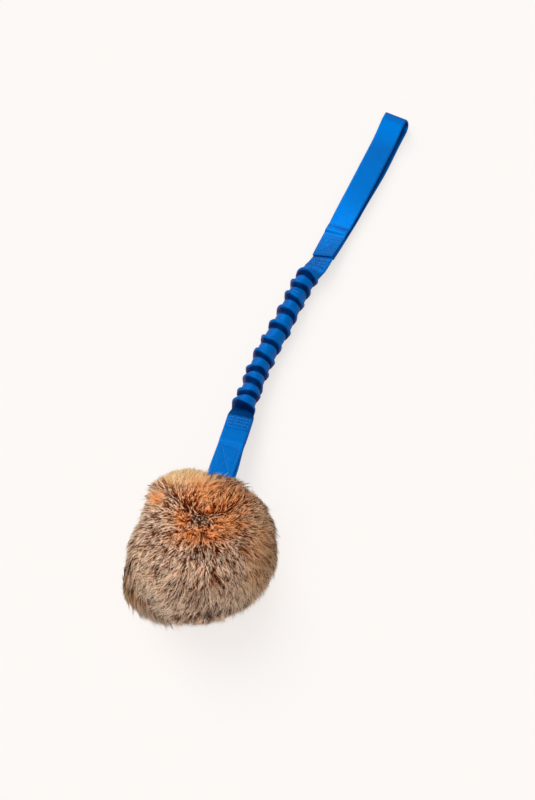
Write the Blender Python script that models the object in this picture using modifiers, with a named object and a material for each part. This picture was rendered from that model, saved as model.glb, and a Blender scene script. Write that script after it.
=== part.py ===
# Bungee tug toy: a rubber ball in a rabbit-skin cover, a doubled webbing strap, a ruched
# elastic tug section and a webbing hand loop, lying relaxed on a floor.
# Metres, +Z up, +X from the ball to the hand loop, origin on the floor under the middle.

import math

import bmesh
import bpy
from mathutils import Matrix, Vector

# Webbing, thread and fit
WEBBING_WIDTH = 0.025
WEBBING_THICKNESS = 0.0017
THREAD_RADIUS = 0.00035
CLEARANCE = 0.0003  # between pieces that touch

# Rubber ball core
CORE_RADIUS = 0.0325
CORE_WALL = 0.004
BRIDGE_HEIGHT = 0.0117  # rubber left between the two strap slots
SLOT_SIDE_ROOM = 0.001  # beside the webbing in its slot

# Fur cover: skin panels, then the pile on them
HIDE_THICKNESS = 0.0012
MOUTH_RADIUS = 0.0158  # hole in the skin that the strap leaves by
SEAM_OFFSET = 0.016  # the parting lies this far to one side of the ball's middle
SEAM_TURN = math.radians(30)  # turn of the parting about the strap, from upright
PILE_REACH_BACK = 0.0655  # core centre to the fur's face, away from the strap
PILE_REACH_FRONT = 0.0780  # the same towards the strap, along the gathered neck
PILE_REACH_SIDE = 0.0635
PILE_REACH_UP = 0.0610
REST_HEIGHT = 0.0560  # core centre above the floor, with the pile pressed flat below
FOOT_SPREAD = 0.05  # how much wider the pile gets as it is pressed down, as a share of one

# Ball strap
STRAP_REACH = 0.1410  # core centre to the strap's stitched end
SEAM_HEIGHT = 0.0255  # middle of the strap above the floor there
STRAP_YAW = math.radians(8.3)
LOWER_LAP = 0.0140  # sleeve end held between the strap's layers
LAYER_RISE = 0.0070  # length over which the layers close up past the sleeve's end
LAYER_SPREAD = 0.0160  # length past the ball over which the two layers come together
BRIDGE_DEPTH = 0.0096  # how deep in the ball the strap goes round behind the bridge
STRAP_TURN_RADIUS = 0.0024

# Tug section: gathered tubular webbing over an elastic cord
SLEEVE_WALL = 0.0009
SLEEVE_FLAT_WIDTH = 0.0260
VALLEY_RADIUS = 0.0073
CREST_RADIUS = 0.0110
RUFFLE_COUNT = 11
RUFFLE_PITCH = 0.0168
RUFFLE_SWAY = 0.0032  # uneven gathering: how far crests shift along the cord
RUFFLE_TILT = 0.16  # slope of a crest's plane, as a share of one
CREST_SHARPNESS = 3.6  # higher gives thinner folds
TACK_ZONE = 0.0155  # flat stretch that the bar tacks hold
FUNNEL = 0.0140  # from the flat stretch to the first full section
CORD_RADIUS = 0.0040
CORD_FLAT_WIDTH = 0.0130
CORD_FLAT_THICKNESS = 0.0016
CORD_END_MARGIN = 0.0025  # cord's cut end to the webbing's edge
TACK_ROWS = 3
TACK_PITCH = 0.0038
TACK_SWING = 0.0009  # half the height of a zigzag
FLOOR_ROOM = 0.0003  # under the lowest crest

# Hand loop
UPPER_LAP = 0.0300  # sleeve end held between the loop's layers
HANDLE_LENGTH = 0.1980  # stitched end to the far bend
HANDLE_YAW = math.radians(-4.3)
HANDLE_ROLL = math.radians(-28)  # the stitched end stands on one edge of the webbing
ROLL_END = 0.1100  # stitched end to where the loop lies flat
HANDLE_JOG = 0.0090  # the tug section leaves the loop's middle line by this much
JOG_RUN = 0.0460  # length of the tug section over which it does so
LOOP_WAIST = 0.0096  # between the two layers' middles where the loop is slimmest
LOOP_CREST = 0.0165  # the same at the bulge by the far bend
LOOP_BEND_RADIUS = 0.0070

# Box stitches
BOX_WIDTH = 0.0190
STRAP_BOX_ROOM = 0.0080  # the strap's box starts this far out of the fur
HANDLE_BOX_LENGTH = 0.0210
BOX_MARGIN = 0.0035  # box to the webbing's edge or to the next row

# Facets
BALL_SEGMENTS = 28
BALL_RINGS = 16
SLEEVE_SIDES = 20
CORD_SIDES = 12
RINGS_PER_RUFFLE = 8

SOURCE_COLLECTION = "bungee_tug_toy"
CUTTER_COLLECTION = "cutters"


def ease(t):
    """Smooth step from 0 to 1."""
    t = min(max(t, 0.0), 1.0)
    return t * t * (3 - 2 * t)


def eased_run(t, length):
    """Distance gained while a slope of one fades to nothing over the length."""
    x = min(max(t / length, 0.0), 1.0)
    return length * (x - x**3 + x**4 / 2)


# Derived sizes that several pieces share
hide_outer_radius = CORE_RADIUS + CLEARANCE + HIDE_THICKNESS
layer_half_gap = CLEARANCE / 2
closed_layer_offset = layer_half_gap + WEBBING_THICKNESS / 2
lap_slit_half = CLEARANCE / 2
lap_half_height = lap_slit_half + SLEEVE_WALL
lap_layer_offset = lap_half_height + CLEARANCE + WEBBING_THICKNESS / 2
tack_slit_half = CORD_FLAT_THICKNESS / 2 + CLEARANCE
tack_half_height = tack_slit_half + SLEEVE_WALL
slot_half_height = WEBBING_THICKNESS / 2 + CLEARANCE
slot_offset = BRIDGE_HEIGHT / 2 + slot_half_height
end_run = TACK_ZONE + FUNNEL
ruffle_run = (RUFFLE_COUNT - 1) * RUFFLE_PITCH
tug_length = 2 * end_run + ruffle_run
strap_box_length = STRAP_REACH - LOWER_LAP - 2 * BOX_MARGIN - PILE_REACH_FRONT - STRAP_BOX_ROOM
strap_pitch = -math.asin((REST_HEIGHT - SEAM_HEIGHT) / STRAP_REACH)
joint_height = (WEBBING_THICKNESS / 2 + WEBBING_WIDTH / 2 * math.sin(abs(HANDLE_ROLL))
                + lap_layer_offset * math.cos(HANDLE_ROLL))


def new_collection(name):
    collection = bpy.data.collections.new(name)
    bpy.context.scene.collection.children.link(collection)
    return collection


def new_material(name, colour, roughness, metallic=0.0):
    material = bpy.data.materials.new(name)
    material.use_nodes = True
    shader = material.node_tree.nodes["Principled BSDF"]
    shader.inputs["Base Color"].default_value = (*colour, 1.0)
    shader.inputs["Roughness"].default_value = roughness
    shader.inputs["Metallic"].default_value = metallic
    material.diffuse_color = (*colour, 1.0)
    return material


def new_axis(name, parent, matrix):
    """Empty on a joint's axis or at a group's centre, placed in world axes."""
    axis = bpy.data.objects.new(name, None)
    axis.empty_display_size = 0.02
    collections["parts"].objects.link(axis)
    axis.parent = parent
    axis.matrix_basis = parent.matrix_world.inverted() @ matrix if parent else matrix
    bpy.context.view_layer.update()
    return axis


def add_object(name, mesh, parent, collection="parts", material=None, smooth=True):
    """Object for a mesh whose points are in its parent's axes."""
    piece = bpy.data.objects.new(name, mesh)
    collections[collection].objects.link(piece)
    piece.parent = parent
    if material is not None:
        mesh.materials.append(material)
    if smooth:
        mesh.shade_smooth()
        mesh.set_sharp_from_angle(angle=math.radians(40))
    return piece


def mesh_from_bmesh(name, bm):
    mesh = bpy.data.meshes.new(name)
    bm.to_mesh(mesh)
    bm.free()
    return mesh


def add_cutter(name, mesh, parent):
    cutter = add_object(name, mesh, parent, collection="cutters", smooth=False)
    cutter.hide_render = True
    cutter.display_type = "WIRE"
    return cutter


def cut(piece, cutter, operation="DIFFERENCE"):
    boolean = piece.modifiers.new(cutter.name, "BOOLEAN")
    boolean.operation = operation
    boolean.object = cutter
    boolean.solver = "EXACT"


def box_mesh(name, low, high):
    bm = bmesh.new()
    bmesh.ops.create_cube(bm, size=1.0)
    size = Vector(high) - Vector(low)
    middle = (Vector(high) + Vector(low)) / 2
    bmesh.ops.scale(bm, vec=size, verts=bm.verts)
    bmesh.ops.translate(bm, vec=middle, verts=bm.verts)
    return mesh_from_bmesh(name, bm)


def ball_bmesh(radius):
    """Sphere with its poles on the strap's line, so that nested spheres share their facets."""
    bm = bmesh.new()
    bmesh.ops.create_uvsphere(bm, u_segments=BALL_SEGMENTS, v_segments=BALL_RINGS, radius=radius)
    bmesh.ops.rotate(bm, cent=(0, 0, 0), matrix=Matrix.Rotation(math.pi / 2, 3, "Y"), verts=bm.verts)
    return bm


def prism_mesh(name, outline, width):
    """Closed outline in the XZ plane, given in order, carried across the width."""
    bm = bmesh.new()
    near = [bm.verts.new((x, -width / 2, z)) for x, z in outline]
    bottom = bm.faces.new(near)
    moved = bmesh.ops.extrude_face_region(bm, geom=[bottom])["geom"]
    far = [item for item in moved if isinstance(item, bmesh.types.BMVert)]
    bmesh.ops.translate(bm, vec=(0, width, 0), verts=far)
    bmesh.ops.recalc_face_normals(bm, faces=bm.faces)
    return mesh_from_bmesh(name, bm)


def webbing_strip(name, middle_line, parent, material, place=None, facets_across=1):
    """Strip of webbing: its middle line in the XZ plane, drawn out to its width and thickened."""
    bm = bmesh.new()
    verts = [bm.verts.new((x, -WEBBING_WIDTH / 2, z)) for x, z in middle_line]
    edges = [bm.edges.new(pair) for pair in zip(verts, verts[1:])]
    for _ in range(facets_across):
        moved = bmesh.ops.extrude_edge_only(bm, edges=edges)["geom"]
        edge = [item for item in moved if isinstance(item, bmesh.types.BMVert)]
        bmesh.ops.translate(bm, vec=(0, WEBBING_WIDTH / facets_across, 0), verts=edge)
        edges = [item for item in moved if isinstance(item, bmesh.types.BMEdge)
                 and all(vert in edge for vert in item.verts)]
    if place is not None:
        for vert in bm.verts:
            vert.co = place(*vert.co)
    strip = add_object(name, mesh_from_bmesh(name, bm), parent, material=material)
    solidify = strip.modifiers.new("thickness", "SOLIDIFY")
    solidify.thickness = WEBBING_THICKNESS
    solidify.offset = 0
    solidify.use_even_offset = True
    return strip


def thread(name, points, parent, material, radius=THREAD_RADIUS, sides_level=0):
    """Sewing thread along points in its parent's axes."""
    curve = bpy.data.curves.new(name, "CURVE")
    curve.dimensions = "3D"
    curve.bevel_depth = radius
    curve.bevel_resolution = sides_level
    curve.use_fill_caps = True
    spline = curve.splines.new("POLY")
    spline.points.add(len(points) - 1)
    for point, place in zip(spline.points, points):
        point.co = (*place, 1.0)
    curve.materials.append(material)
    piece = bpy.data.objects.new(name, curve)
    collections["parts"].objects.link(piece)
    piece.parent = parent
    return piece


def smooth_line(points, steps):
    """Catmull-Rom line through points, with the given number of steps between two of them."""
    first = tuple(2 * a - b for a, b in zip(points[0], points[1]))
    last = tuple(2 * a - b for a, b in zip(points[-1], points[-2]))
    knots = [first, *points, last]
    line = []
    for before, start, end, after in zip(knots, knots[1:], knots[2:], knots[3:]):
        for step in range(steps):
            t = step / steps
            line.append(tuple(
                0.5 * (2 * p1 + (p2 - p0) * t + (2 * p0 - 5 * p1 + 4 * p2 - p3) * t**2
                       + (3 * p1 - p0 - 3 * p2 + p3) * t**3)
                for p0, p1, p2, p3 in zip(before, start, end, after)))
    line.append(tuple(points[-1]))
    return line


# The ball


def make_ball_core(parent):
    core = add_object("ball_core", mesh_from_bmesh("ball_core", ball_bmesh(CORE_RADIUS)), parent,
                      material=materials["rubber"])
    shell = core.modifiers.new("wall", "SOLIDIFY")
    shell.thickness = CORE_WALL
    shell.offset = -1
    half_width = WEBBING_WIDTH / 2 + SLOT_SIDE_ROOM
    for side, height in (("upper", slot_offset), ("lower", -slot_offset)):
        low = (CORE_RADIUS / 2, -half_width, height - slot_half_height)
        high = (CORE_RADIUS * 1.1, half_width, height + slot_half_height)
        cut(core, add_cutter(f"{side}_strap_slot", box_mesh(f"{side}_strap_slot", low, high), parent))


def seam_normal():
    """Normal of the parting plane, in the ball's axes, towards the smaller panel."""
    return Matrix.Rotation(SEAM_TURN, 3, "X") @ Vector((0, -1, 0))


def make_hide_panel(name, side, parent):
    """Skin on one side of the parting: an open cap of the sphere, thickened inwards."""
    bm = ball_bmesh(hide_outer_radius)
    mouth_x = math.sqrt(hide_outer_radius**2 - MOUTH_RADIUS**2)
    normal = seam_normal()
    planes = [((mouth_x, 0, 0), (1, 0, 0)),
              (normal * (SEAM_OFFSET + side * CLEARANCE / 2), normal * -side)]
    for point, outward in planes:
        geometry = bm.verts[:] + bm.edges[:] + bm.faces[:]
        bmesh.ops.bisect_plane(bm, geom=geometry, dist=1e-6, plane_co=point, plane_no=outward,
                               clear_outer=True)
    panel = add_object(name, mesh_from_bmesh(name, bm), parent, material=materials["hide"])
    skin = panel.modifiers.new("skin", "SOLIDIFY")
    skin.thickness = HIDE_THICKNESS
    skin.offset = -1
    return panel


def pile_point(direction):
    """Face of the fur in a direction from the core's centre, in level axes turned with the strap."""
    reach_x = PILE_REACH_FRONT if direction.x > 0 else PILE_REACH_BACK
    stretch = Vector((direction.x / reach_x, direction.y / PILE_REACH_SIDE, direction.z / PILE_REACH_UP))
    point = direction / stretch.length
    # The pile below the middle spreads and ends in a flat foot.
    spread = 1 + FOOT_SPREAD * ease(-point.z / REST_HEIGHT)
    return Vector((point.x * spread, point.y * spread, max(point.z, -REST_HEIGHT)))


def make_pile(name, side, ball_axis, level_axis, channel, void):
    """Fur on one side of the parting: the outer form, less the skin's ball and the strap's channel."""
    bm = bmesh.new()
    bmesh.ops.create_uvsphere(bm, u_segments=36, v_segments=20, radius=1.0)
    bmesh.ops.rotate(bm, cent=(0, 0, 0), matrix=Matrix.Rotation(math.pi / 2, 3, "Y"), verts=bm.verts)
    for vert in bm.verts:
        vert.co = pile_point(vert.co.normalized())
    pile = add_object(name, mesh_from_bmesh(name, bm), level_axis, material=materials["fur"])
    far = 4 * PILE_REACH_FRONT
    near = THREAD_RADIUS + CLEARANCE
    y_low, y_high = (near, far) if side > 0 else (-far, -near)
    half_space = box_mesh(f"{name}_side", (-far, y_low, -far), (far, y_high, far))
    keeper = add_cutter(f"{name}_side", half_space, ball_axis)
    keeper.matrix_basis = (Matrix.Translation(seam_normal() * SEAM_OFFSET)
                           @ Matrix.Rotation(SEAM_TURN + math.pi, 4, "X"))
    cut(pile, void)
    cut(pile, channel)
    cut(pile, keeper, "INTERSECT")
    return pile


def offset_line(line, distance):
    """Line moved sideways in its plane, to its left as it runs."""
    moved = []
    for index, (x, z) in enumerate(line):
        before = line[max(index - 1, 0)]
        after = line[min(index + 1, len(line) - 1)]
        dx, dz = after[0] - before[0], after[1] - before[1]
        length = math.hypot(dx, dz)
        moved.append((x - dz / length * distance, z + dx / length * distance))
    return moved


def make_pile_cutters(parent):
    """Room for the skin's ball, and the channel that the strap's two layers leave by."""
    void = add_cutter("skin_room", mesh_from_bmesh("skin_room", ball_bmesh(hide_outer_radius + CLEARANCE)), parent)
    wall = WEBBING_THICKNESS / 2 + 2 * CLEARANCE
    start = CORE_RADIUS - CORE_WALL
    end = 1.1 * PILE_REACH_FRONT
    steps = 24
    layer = [(x, strap_layer_height(x)) for x in (start + (end - start) * n / steps for n in range(steps + 1))]
    upper = offset_line(layer, wall)
    outline = upper + [(x, -z) for x, z in reversed(upper)]
    width = WEBBING_WIDTH + 2 * CLEARANCE
    channel = add_cutter("strap_channel", prism_mesh("strap_channel", outline, width), parent)
    return channel, void


def make_seam_thread(parent):
    """Closing stitch: it lies on the skin along the parting, from mouth to mouth round the back."""
    normal = seam_normal()
    lie = hide_outer_radius + CLEARANCE + THREAD_RADIUS
    ring = math.sqrt(lie**2 - SEAM_OFFSET**2)
    across = normal.cross(Vector((1, 0, 0)))
    start = math.asin(MOUTH_RADIUS / ring) + math.radians(6)
    count = 44
    points = []
    for index in range(count + 1):
        angle = start + (2 * math.pi - 2 * start) * index / count
        direction = Vector((math.cos(angle), 0, 0)) + across * math.sin(angle)
        points.append(normal * SEAM_OFFSET + direction * ring)
    thread("hide_seam_thread", points, parent, materials["thread_tan"], sides_level=1)


# The ball strap


def strap_layer_height(x):
    """Middle of the upper layer above the strap's line, at x from the core's centre."""
    spread = 1 - ease((x - CORE_RADIUS) / LAYER_SPREAD)
    lap_start = STRAP_REACH - LOWER_LAP - CLEARANCE
    opened = ease((x - (lap_start - LAYER_RISE)) / LAYER_RISE)
    height = closed_layer_offset
    height += spread * (slot_offset - closed_layer_offset)
    height += opened * (lap_layer_offset - closed_layer_offset)
    return height


def make_ball_strap(parent):
    """One strip: in along the upper layer, down behind the bridge and out along the lower one."""
    turn_x = CORE_RADIUS - BRIDGE_DEPTH + STRAP_TURN_RADIUS
    steps = 44
    upper = []
    for index in range(steps + 1):
        x = STRAP_REACH + (turn_x - STRAP_REACH) * index / steps
        upper.append((x, strap_layer_height(x)))
    turn_z = slot_offset - STRAP_TURN_RADIUS
    corner = []
    for degrees in (22.5, 45, 67.5, 90):
        angle = math.radians(degrees)
        corner.append((turn_x - STRAP_TURN_RADIUS * math.sin(angle),
                       turn_z + STRAP_TURN_RADIUS * math.cos(angle)))
    half = upper + corner
    line = half + [(x, -z) for x, z in reversed(half)]
    webbing_strip("ball_strap", line, parent, materials["webbing"])


# The hand loop's lie, which the tug section's end follows


def handle_roll(x):
    """Roll of the loop about its length, at x past the stitched end."""
    return HANDLE_ROLL * max(0.0, 1 - x / ROLL_END) ** 2


def handle_place(x, y, lift):
    """Point of the loop in the hinge's axes: y across, lift above the lower layer's middle face."""
    roll = handle_roll(x)
    edge_lift = WEBBING_WIDTH / 2 * math.sin(abs(roll))
    z = WEBBING_THICKNESS / 2 + edge_lift + y * math.sin(roll) + lift * math.cos(roll) - joint_height
    return Vector((x, y * math.cos(roll) - (lift - lap_layer_offset) * math.sin(roll), z))


def lap_height(x):
    """Height of the middle between the lap's layers above the floor."""
    return joint_height + handle_place(x, 0.0, lap_layer_offset).z


# The tug section's middle line


def hermite(t, start, start_slope, end, end_slope):
    """Cubic from start to end; the slopes are per unit of t."""
    return (start * (2 * t**3 - 3 * t**2 + 1) + start_slope * (t**3 - 2 * t**2 + t)
            + end * (3 * t**2 - 2 * t**3) + end_slope * (t**3 - t**2))


def line_height(s):
    """Height of the middle line at s metres past the strap's stitched end."""
    start_slope = math.sin(strap_pitch)
    rest_z = CREST_RADIUS + FLOOR_ROOM
    settle = tug_length - end_run
    if s <= 0:
        return SEAM_HEIGHT + start_slope * s
    if s <= settle:
        slope = max(start_slope * settle, -3 * (SEAM_HEIGHT - rest_z))
        return hermite(s / settle, SEAM_HEIGHT, slope, rest_z, 0.0)
    if s <= tug_length:
        end_slope = (lap_height(end_run / 10) - joint_height) * 10
        return hermite((s - settle) / end_run, rest_z, 0.0, joint_height, end_slope)
    return lap_height(s - tug_length)


def line_side(s):
    """Sideways place of the middle line, from the ball's own."""
    slope = math.sin(STRAP_YAW) * math.cos(strap_pitch)
    side = slope * (STRAP_REACH + s)
    if s > TACK_ZONE:
        side = slope * (STRAP_REACH + TACK_ZONE + eased_run(s - TACK_ZONE, 2.5 * RUFFLE_PITCH))
    jog = min(max((s - tug_length) / JOG_RUN + 1, 0.0), 1.0)
    side += hermite(jog, 0.0, 0.0, -HANDLE_JOG, math.sin(HANDLE_YAW) * JOG_RUN)
    return side + math.sin(HANDLE_YAW) * max(s - tug_length, 0.0)


def trace_middle_line():
    """Points of the middle line every half millimetre, from the lower lap to the upper lap."""
    step = 0.0005
    start = -LOWER_LAP
    count = math.ceil((LOWER_LAP + tug_length + UPPER_LAP) / step) + 1
    level = math.cos(strap_pitch) * math.cos(STRAP_YAW)
    x = level * (STRAP_REACH + start)
    table = []
    for index in range(count):
        s = start + index * step
        table.append((s, Vector((x, line_side(s), line_height(s)))))
        if s < tug_length:
            rise = (line_height(s + step) - line_height(s)) / step
            sway = (line_side(s + step) - line_side(s)) / step
            x += step * math.sqrt(max(1 - rise**2 - sway**2, 0.1))
        else:
            x += step * math.cos(HANDLE_YAW)
    return table


def line_frame(s):
    """Point of the middle line with its forward, sideways and upward directions."""
    step = middle_line[1][0] - middle_line[0][0]
    position = min(max((s - middle_line[0][0]) / step, 0), len(middle_line) - 1.001)
    index = int(position)
    share = position - index
    here, after = middle_line[index][1], middle_line[index + 1][1]
    low = middle_line[max(index - 2, 0)][1]
    high = middle_line[min(index + 3, len(middle_line) - 1)][1]
    forward = (high - low).normalized()
    sideways = Vector((0, 0, 1)).cross(forward).normalized()
    turned = ease((s - tug_length) / JOG_RUN + 1)
    roll = handle_roll(max(s - tug_length, 0.0)) * turned
    sideways = Matrix.Rotation(roll, 3, forward) @ sideways
    return here.lerp(after, share), forward, sideways, forward.cross(sideways)


# Sections of the sleeve and the cord


def roundness(s):
    """0 in the flat ends, 1 along the gathered tube."""
    return min(ease((s - TACK_ZONE) / FUNNEL), ease((tug_length - TACK_ZONE - s) / FUNNEL))


def flat_half_height(s, lap_value, tack_value):
    """Half height in the flat ends, where the cord's flattened end lies or has stopped."""
    into_lap = max(ease((CORD_END_MARGIN - s) / CORD_END_MARGIN),
                   ease((s - (tug_length - CORD_END_MARGIN)) / CORD_END_MARGIN))
    return tack_value + (lap_value - tack_value) * into_lap


def crest_place(index):
    """Distance of a crest along the line: an even pitch with the gathering's uneven sway."""
    share = index / (RUFFLE_COUNT - 1)
    sway = RUFFLE_SWAY * (math.sin(math.pi * share) + math.sin(2 * math.pi * share))
    return end_run + RUFFLE_PITCH * index - sway


def ruffle_swell(s):
    """Height of the gathers above the valley at s, from 0 to 1, with the nearest crest's number."""
    nearest = min(range(RUFFLE_COUNT), key=lambda index: abs(s - crest_place(index)))
    offset = (s - crest_place(nearest)) / RUFFLE_PITCH
    swell = max(0.0, math.cos(math.pi * min(abs(offset), 0.5))) ** CREST_SHARPNESS
    return swell, nearest


def superellipse(half_width, half_height, power, angle):
    c, q = math.cos(angle), math.sin(angle)
    return (half_width * math.copysign(abs(c) ** (2 / power), c),
            half_height * math.copysign(abs(q) ** (2 / power), q))


def sleeve_section(s, inner):
    """Half width, half height and power of the sleeve's outer or inner outline at s."""
    wall = SLEEVE_WALL if inner else 0.0
    rounded = roundness(s)
    if inner:
        flat = flat_half_height(s, lap_slit_half, tack_slit_half)
    else:
        flat = flat_half_height(s, lap_half_height, tack_half_height)
    tube = VALLEY_RADIUS - wall
    half_width = (SLEEVE_FLAT_WIDTH / 2 - wall) * (1 - rounded) + tube * rounded
    half_height = flat * (1 - rounded) + tube * rounded
    power = 2.6 * (1 - rounded) + 2.0 * rounded
    return half_width, half_height, power


def sleeve_ring(s, inner):
    """Ring of points round the middle line: the outer one carries the gathers."""
    place, forward, sideways, upward = line_frame(s)
    half_width, half_height, power = sleeve_section(s, inner)
    swell, crest = (0.0, 0) if inner else ruffle_swell(s)
    tilt = RUFFLE_TILT * math.sin(2.3 * crest + 0.7)
    lift = swell * (CREST_RADIUS - VALLEY_RADIUS) * roundness(s)
    ring = []
    for index in range(SLEEVE_SIDES):
        angle = 2 * math.pi * index / SLEEVE_SIDES
        y, z = superellipse(half_width + lift, half_height + lift, power, angle)
        slide = tilt * swell * roundness(s) * y
        ring.append(place + forward * slide + sideways * y + upward * z)
    return ring


def add_ring(bm, ring):
    return [bm.verts.new(point) for point in ring]


def bridge_rings(bm, first, second, flip=False):
    count = len(first)
    for index in range(count):
        after = (index + 1) % count
        corners = [first[index], first[after], second[after], second[index]]
        bm.faces.new(reversed(corners) if flip else corners)


def even_places(start, end, step):
    count = max(1, round((end - start) / step))
    return [start + (end - start) * index / count for index in range(count)]


def gather_places():
    """Rings of the gathers, drawn together at each crest."""
    places = []
    for index in range(RUFFLE_COUNT):
        crest = crest_place(index)
        before = (crest - crest_place(index - 1)) / 2 if index else RUFFLE_PITCH / 2
        after = (crest_place(index + 1) - crest) / 2 if index < RUFFLE_COUNT - 1 else RUFFLE_PITCH / 2
        half = RINGS_PER_RUFFLE // 2
        for step in range(-half, half):
            share = abs(step) / half
            places.append(crest + math.copysign(share**1.6, step) * (before if step < 0 else after))
    return places


def sleeve_places():
    """Where the sleeve's outer rings stand."""
    first = crest_place(0) - RUFFLE_PITCH / 2
    last = crest_place(RUFFLE_COUNT - 1) + RUFFLE_PITCH / 2
    places = even_places(-LOWER_LAP, 0, 0.006)
    places += even_places(0, CORD_END_MARGIN, 0.0012)
    places += even_places(CORD_END_MARGIN, first, 0.004)
    places += gather_places()
    places += even_places(last, tug_length - CORD_END_MARGIN, 0.004)
    places += even_places(tug_length - CORD_END_MARGIN, tug_length, 0.0012)
    places += even_places(tug_length, tug_length + UPPER_LAP, 0.010)
    places.append(tug_length + UPPER_LAP - CLEARANCE)
    return places


def bore_places():
    """Where the rings of its plainer bore stand."""
    places = even_places(-LOWER_LAP, 0, 0.006)
    places += even_places(0, CORD_END_MARGIN, 0.0012)
    places += even_places(CORD_END_MARGIN, end_run, 0.003)
    places += even_places(end_run, tug_length - end_run, RUFFLE_PITCH)
    places += even_places(tug_length - end_run, tug_length - CORD_END_MARGIN, 0.003)
    places += even_places(tug_length - CORD_END_MARGIN, tug_length, 0.0012)
    places += even_places(tug_length, tug_length + UPPER_LAP, 0.010)
    places.append(tug_length + UPPER_LAP - CLEARANCE)
    return places


def make_bungee_sleeve(parent):
    """Loft of unlike sections: flat end, gathered tube, flat end, with a bore right through."""
    bm = bmesh.new()
    outer = [add_ring(bm, sleeve_ring(s, False)) for s in sleeve_places()]
    inner = [add_ring(bm, sleeve_ring(s, True)) for s in bore_places()]
    for first, second in zip(outer, outer[1:]):
        bridge_rings(bm, first, second)
    for first, second in zip(inner, inner[1:]):
        bridge_rings(bm, first, second, flip=True)
    bridge_rings(bm, outer[0], inner[0], flip=True)
    bridge_rings(bm, outer[-1], inner[-1])
    to_parent = parent.matrix_world.inverted()
    bmesh.ops.transform(bm, matrix=to_parent, verts=bm.verts)
    bmesh.ops.recalc_face_normals(bm, faces=bm.faces)
    add_object("bungee_sleeve", mesh_from_bmesh("bungee_sleeve", bm), parent, material=materials["sleeve"])


def make_bungee_cord(parent):
    """Elastic core: round in the tube, pressed flat where the bar tacks hold it."""
    bm = bmesh.new()
    start, end = CORD_END_MARGIN + CLEARANCE, tug_length - CORD_END_MARGIN - CLEARANCE
    places = even_places(start, end_run, 0.003)
    places += even_places(end_run, tug_length - end_run, RUFFLE_PITCH)
    places += even_places(tug_length - end_run, end, 0.003) + [end]
    rings = []
    for s in places:
        place, _, sideways, upward = line_frame(s)
        rounded = roundness(s)
        half_width = CORD_FLAT_WIDTH / 2 * (1 - rounded) + CORD_RADIUS * rounded
        half_height = CORD_FLAT_THICKNESS / 2 * (1 - rounded) + CORD_RADIUS * rounded
        ring = []
        for index in range(CORD_SIDES):
            y, z = superellipse(half_width, half_height, 2.0, 2 * math.pi * index / CORD_SIDES)
            ring.append(place + sideways * y + upward * z)
        rings.append(add_ring(bm, ring))
    for first, second in zip(rings, rings[1:]):
        bridge_rings(bm, first, second)
    bm.faces.new(rings[0])
    bm.faces.new(rings[-1])
    bmesh.ops.transform(bm, matrix=parent.matrix_world.inverted(), verts=bm.verts)
    bmesh.ops.recalc_face_normals(bm, faces=bm.faces)
    add_object("bungee_cord", mesh_from_bmesh("bungee_cord", bm), parent, material=materials["elastic"])


def wrapped_outline(s, count):
    """Points round the sleeve's section at s, one thread's lie outside it, evenly spaced."""
    half_width, half_height, power = sleeve_section(s, False)
    lie = CLEARANCE + THREAD_RADIUS
    fine = []
    for index in range(361):
        angle = math.radians(175 - 350 * index / 360)
        fine.append(Vector(superellipse(half_width + lie, half_height + lie, power, angle)))
    lengths = [0.0]
    for first, second in zip(fine, fine[1:]):
        lengths.append(lengths[-1] + (second - first).length)
    places = []
    cursor = 0
    for index in range(count):
        target = lengths[-1] * index / (count - 1)
        while cursor < len(fine) - 2 and lengths[cursor + 1] < target:
            cursor += 1
        span = lengths[cursor + 1] - lengths[cursor]
        places.append(fine[cursor].lerp(fine[cursor + 1], (target - lengths[cursor]) / span))
    return places


def make_bar_tack(name, s, parent):
    """Zigzag thread that goes over the flat end, round its edge and back underneath."""
    count = 49
    edge = WEBBING_WIDTH * 0.44
    to_parent = parent.matrix_world.inverted()
    points = []
    for index, flat in enumerate(wrapped_outline(s, count)):
        swing = TACK_SWING if abs(flat.x) < edge else 0.0
        offset = swing * (1 if index % 2 else -1)
        place, _, sideways, upward = line_frame(s + offset)
        points.append(to_parent @ (place + sideways * flat.x + upward * flat.y))
    thread(name, points, parent, materials["thread_blue"])


# Box stitches


def box_stitch_route(start, length, width):
    """Box, then its two diagonals, as one thread: it returns to the start between them."""
    left, right = -width / 2, width / 2
    end = start + length
    inset = 6 * THREAD_RADIUS
    return [(start + inset, left), (end, left), (end, right), (start, right), (start, left + inset),
            (end - inset, right - inset), (end - inset, left + inset), (start + inset, right - inset)]


def make_box_stitch(name, start, length, place, parent):
    """Thread on a strap's upper face; where the diagonals cross, the second lies on the first."""
    route = box_stitch_route(start, length, BOX_WIDTH)
    lie = WEBBING_THICKNESS / 2 + CLEARANCE + THREAD_RADIUS
    hump = 2 * THREAD_RADIUS + CLEARANCE
    middle = (start + length / 2, 0.0)
    points = []
    last = len(route) - 2
    for leg, (begin, finish) in enumerate(zip(route, route[1:])):
        steps = max(2, round(math.dist(begin, finish) / 0.004))
        for step in range(steps + (leg == last)):
            t = step / steps
            x = begin[0] + (finish[0] - begin[0]) * t
            y = begin[1] + (finish[1] - begin[1]) * t
            near = 1 - ease(math.dist((x, y), middle) / 0.005) if leg == last else 0.0
            points.append(place(x, y, lie + hump * near))
    thread(name, points, parent, materials["thread_blue"])


def make_cross_stitch(name, x, place, parent):
    """One zigzag row right across a strap's upper face."""
    count = 21
    lie = WEBBING_THICKNESS / 2 + CLEARANCE + THREAD_RADIUS
    half = WEBBING_WIDTH / 2 - BOX_MARGIN / 2
    points = []
    for index in range(count):
        y = -half + 2 * half * index / (count - 1)
        along = x + TACK_SWING * (1 if index % 2 else -1) * 0.7
        points.append(place(along, y, lie))
    thread(name, points, parent, materials["thread_blue"])


# The hand loop


def handle_top_place(x, y, lie):
    return handle_place(x, y, handle_top_lift(x) + lie)


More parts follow.
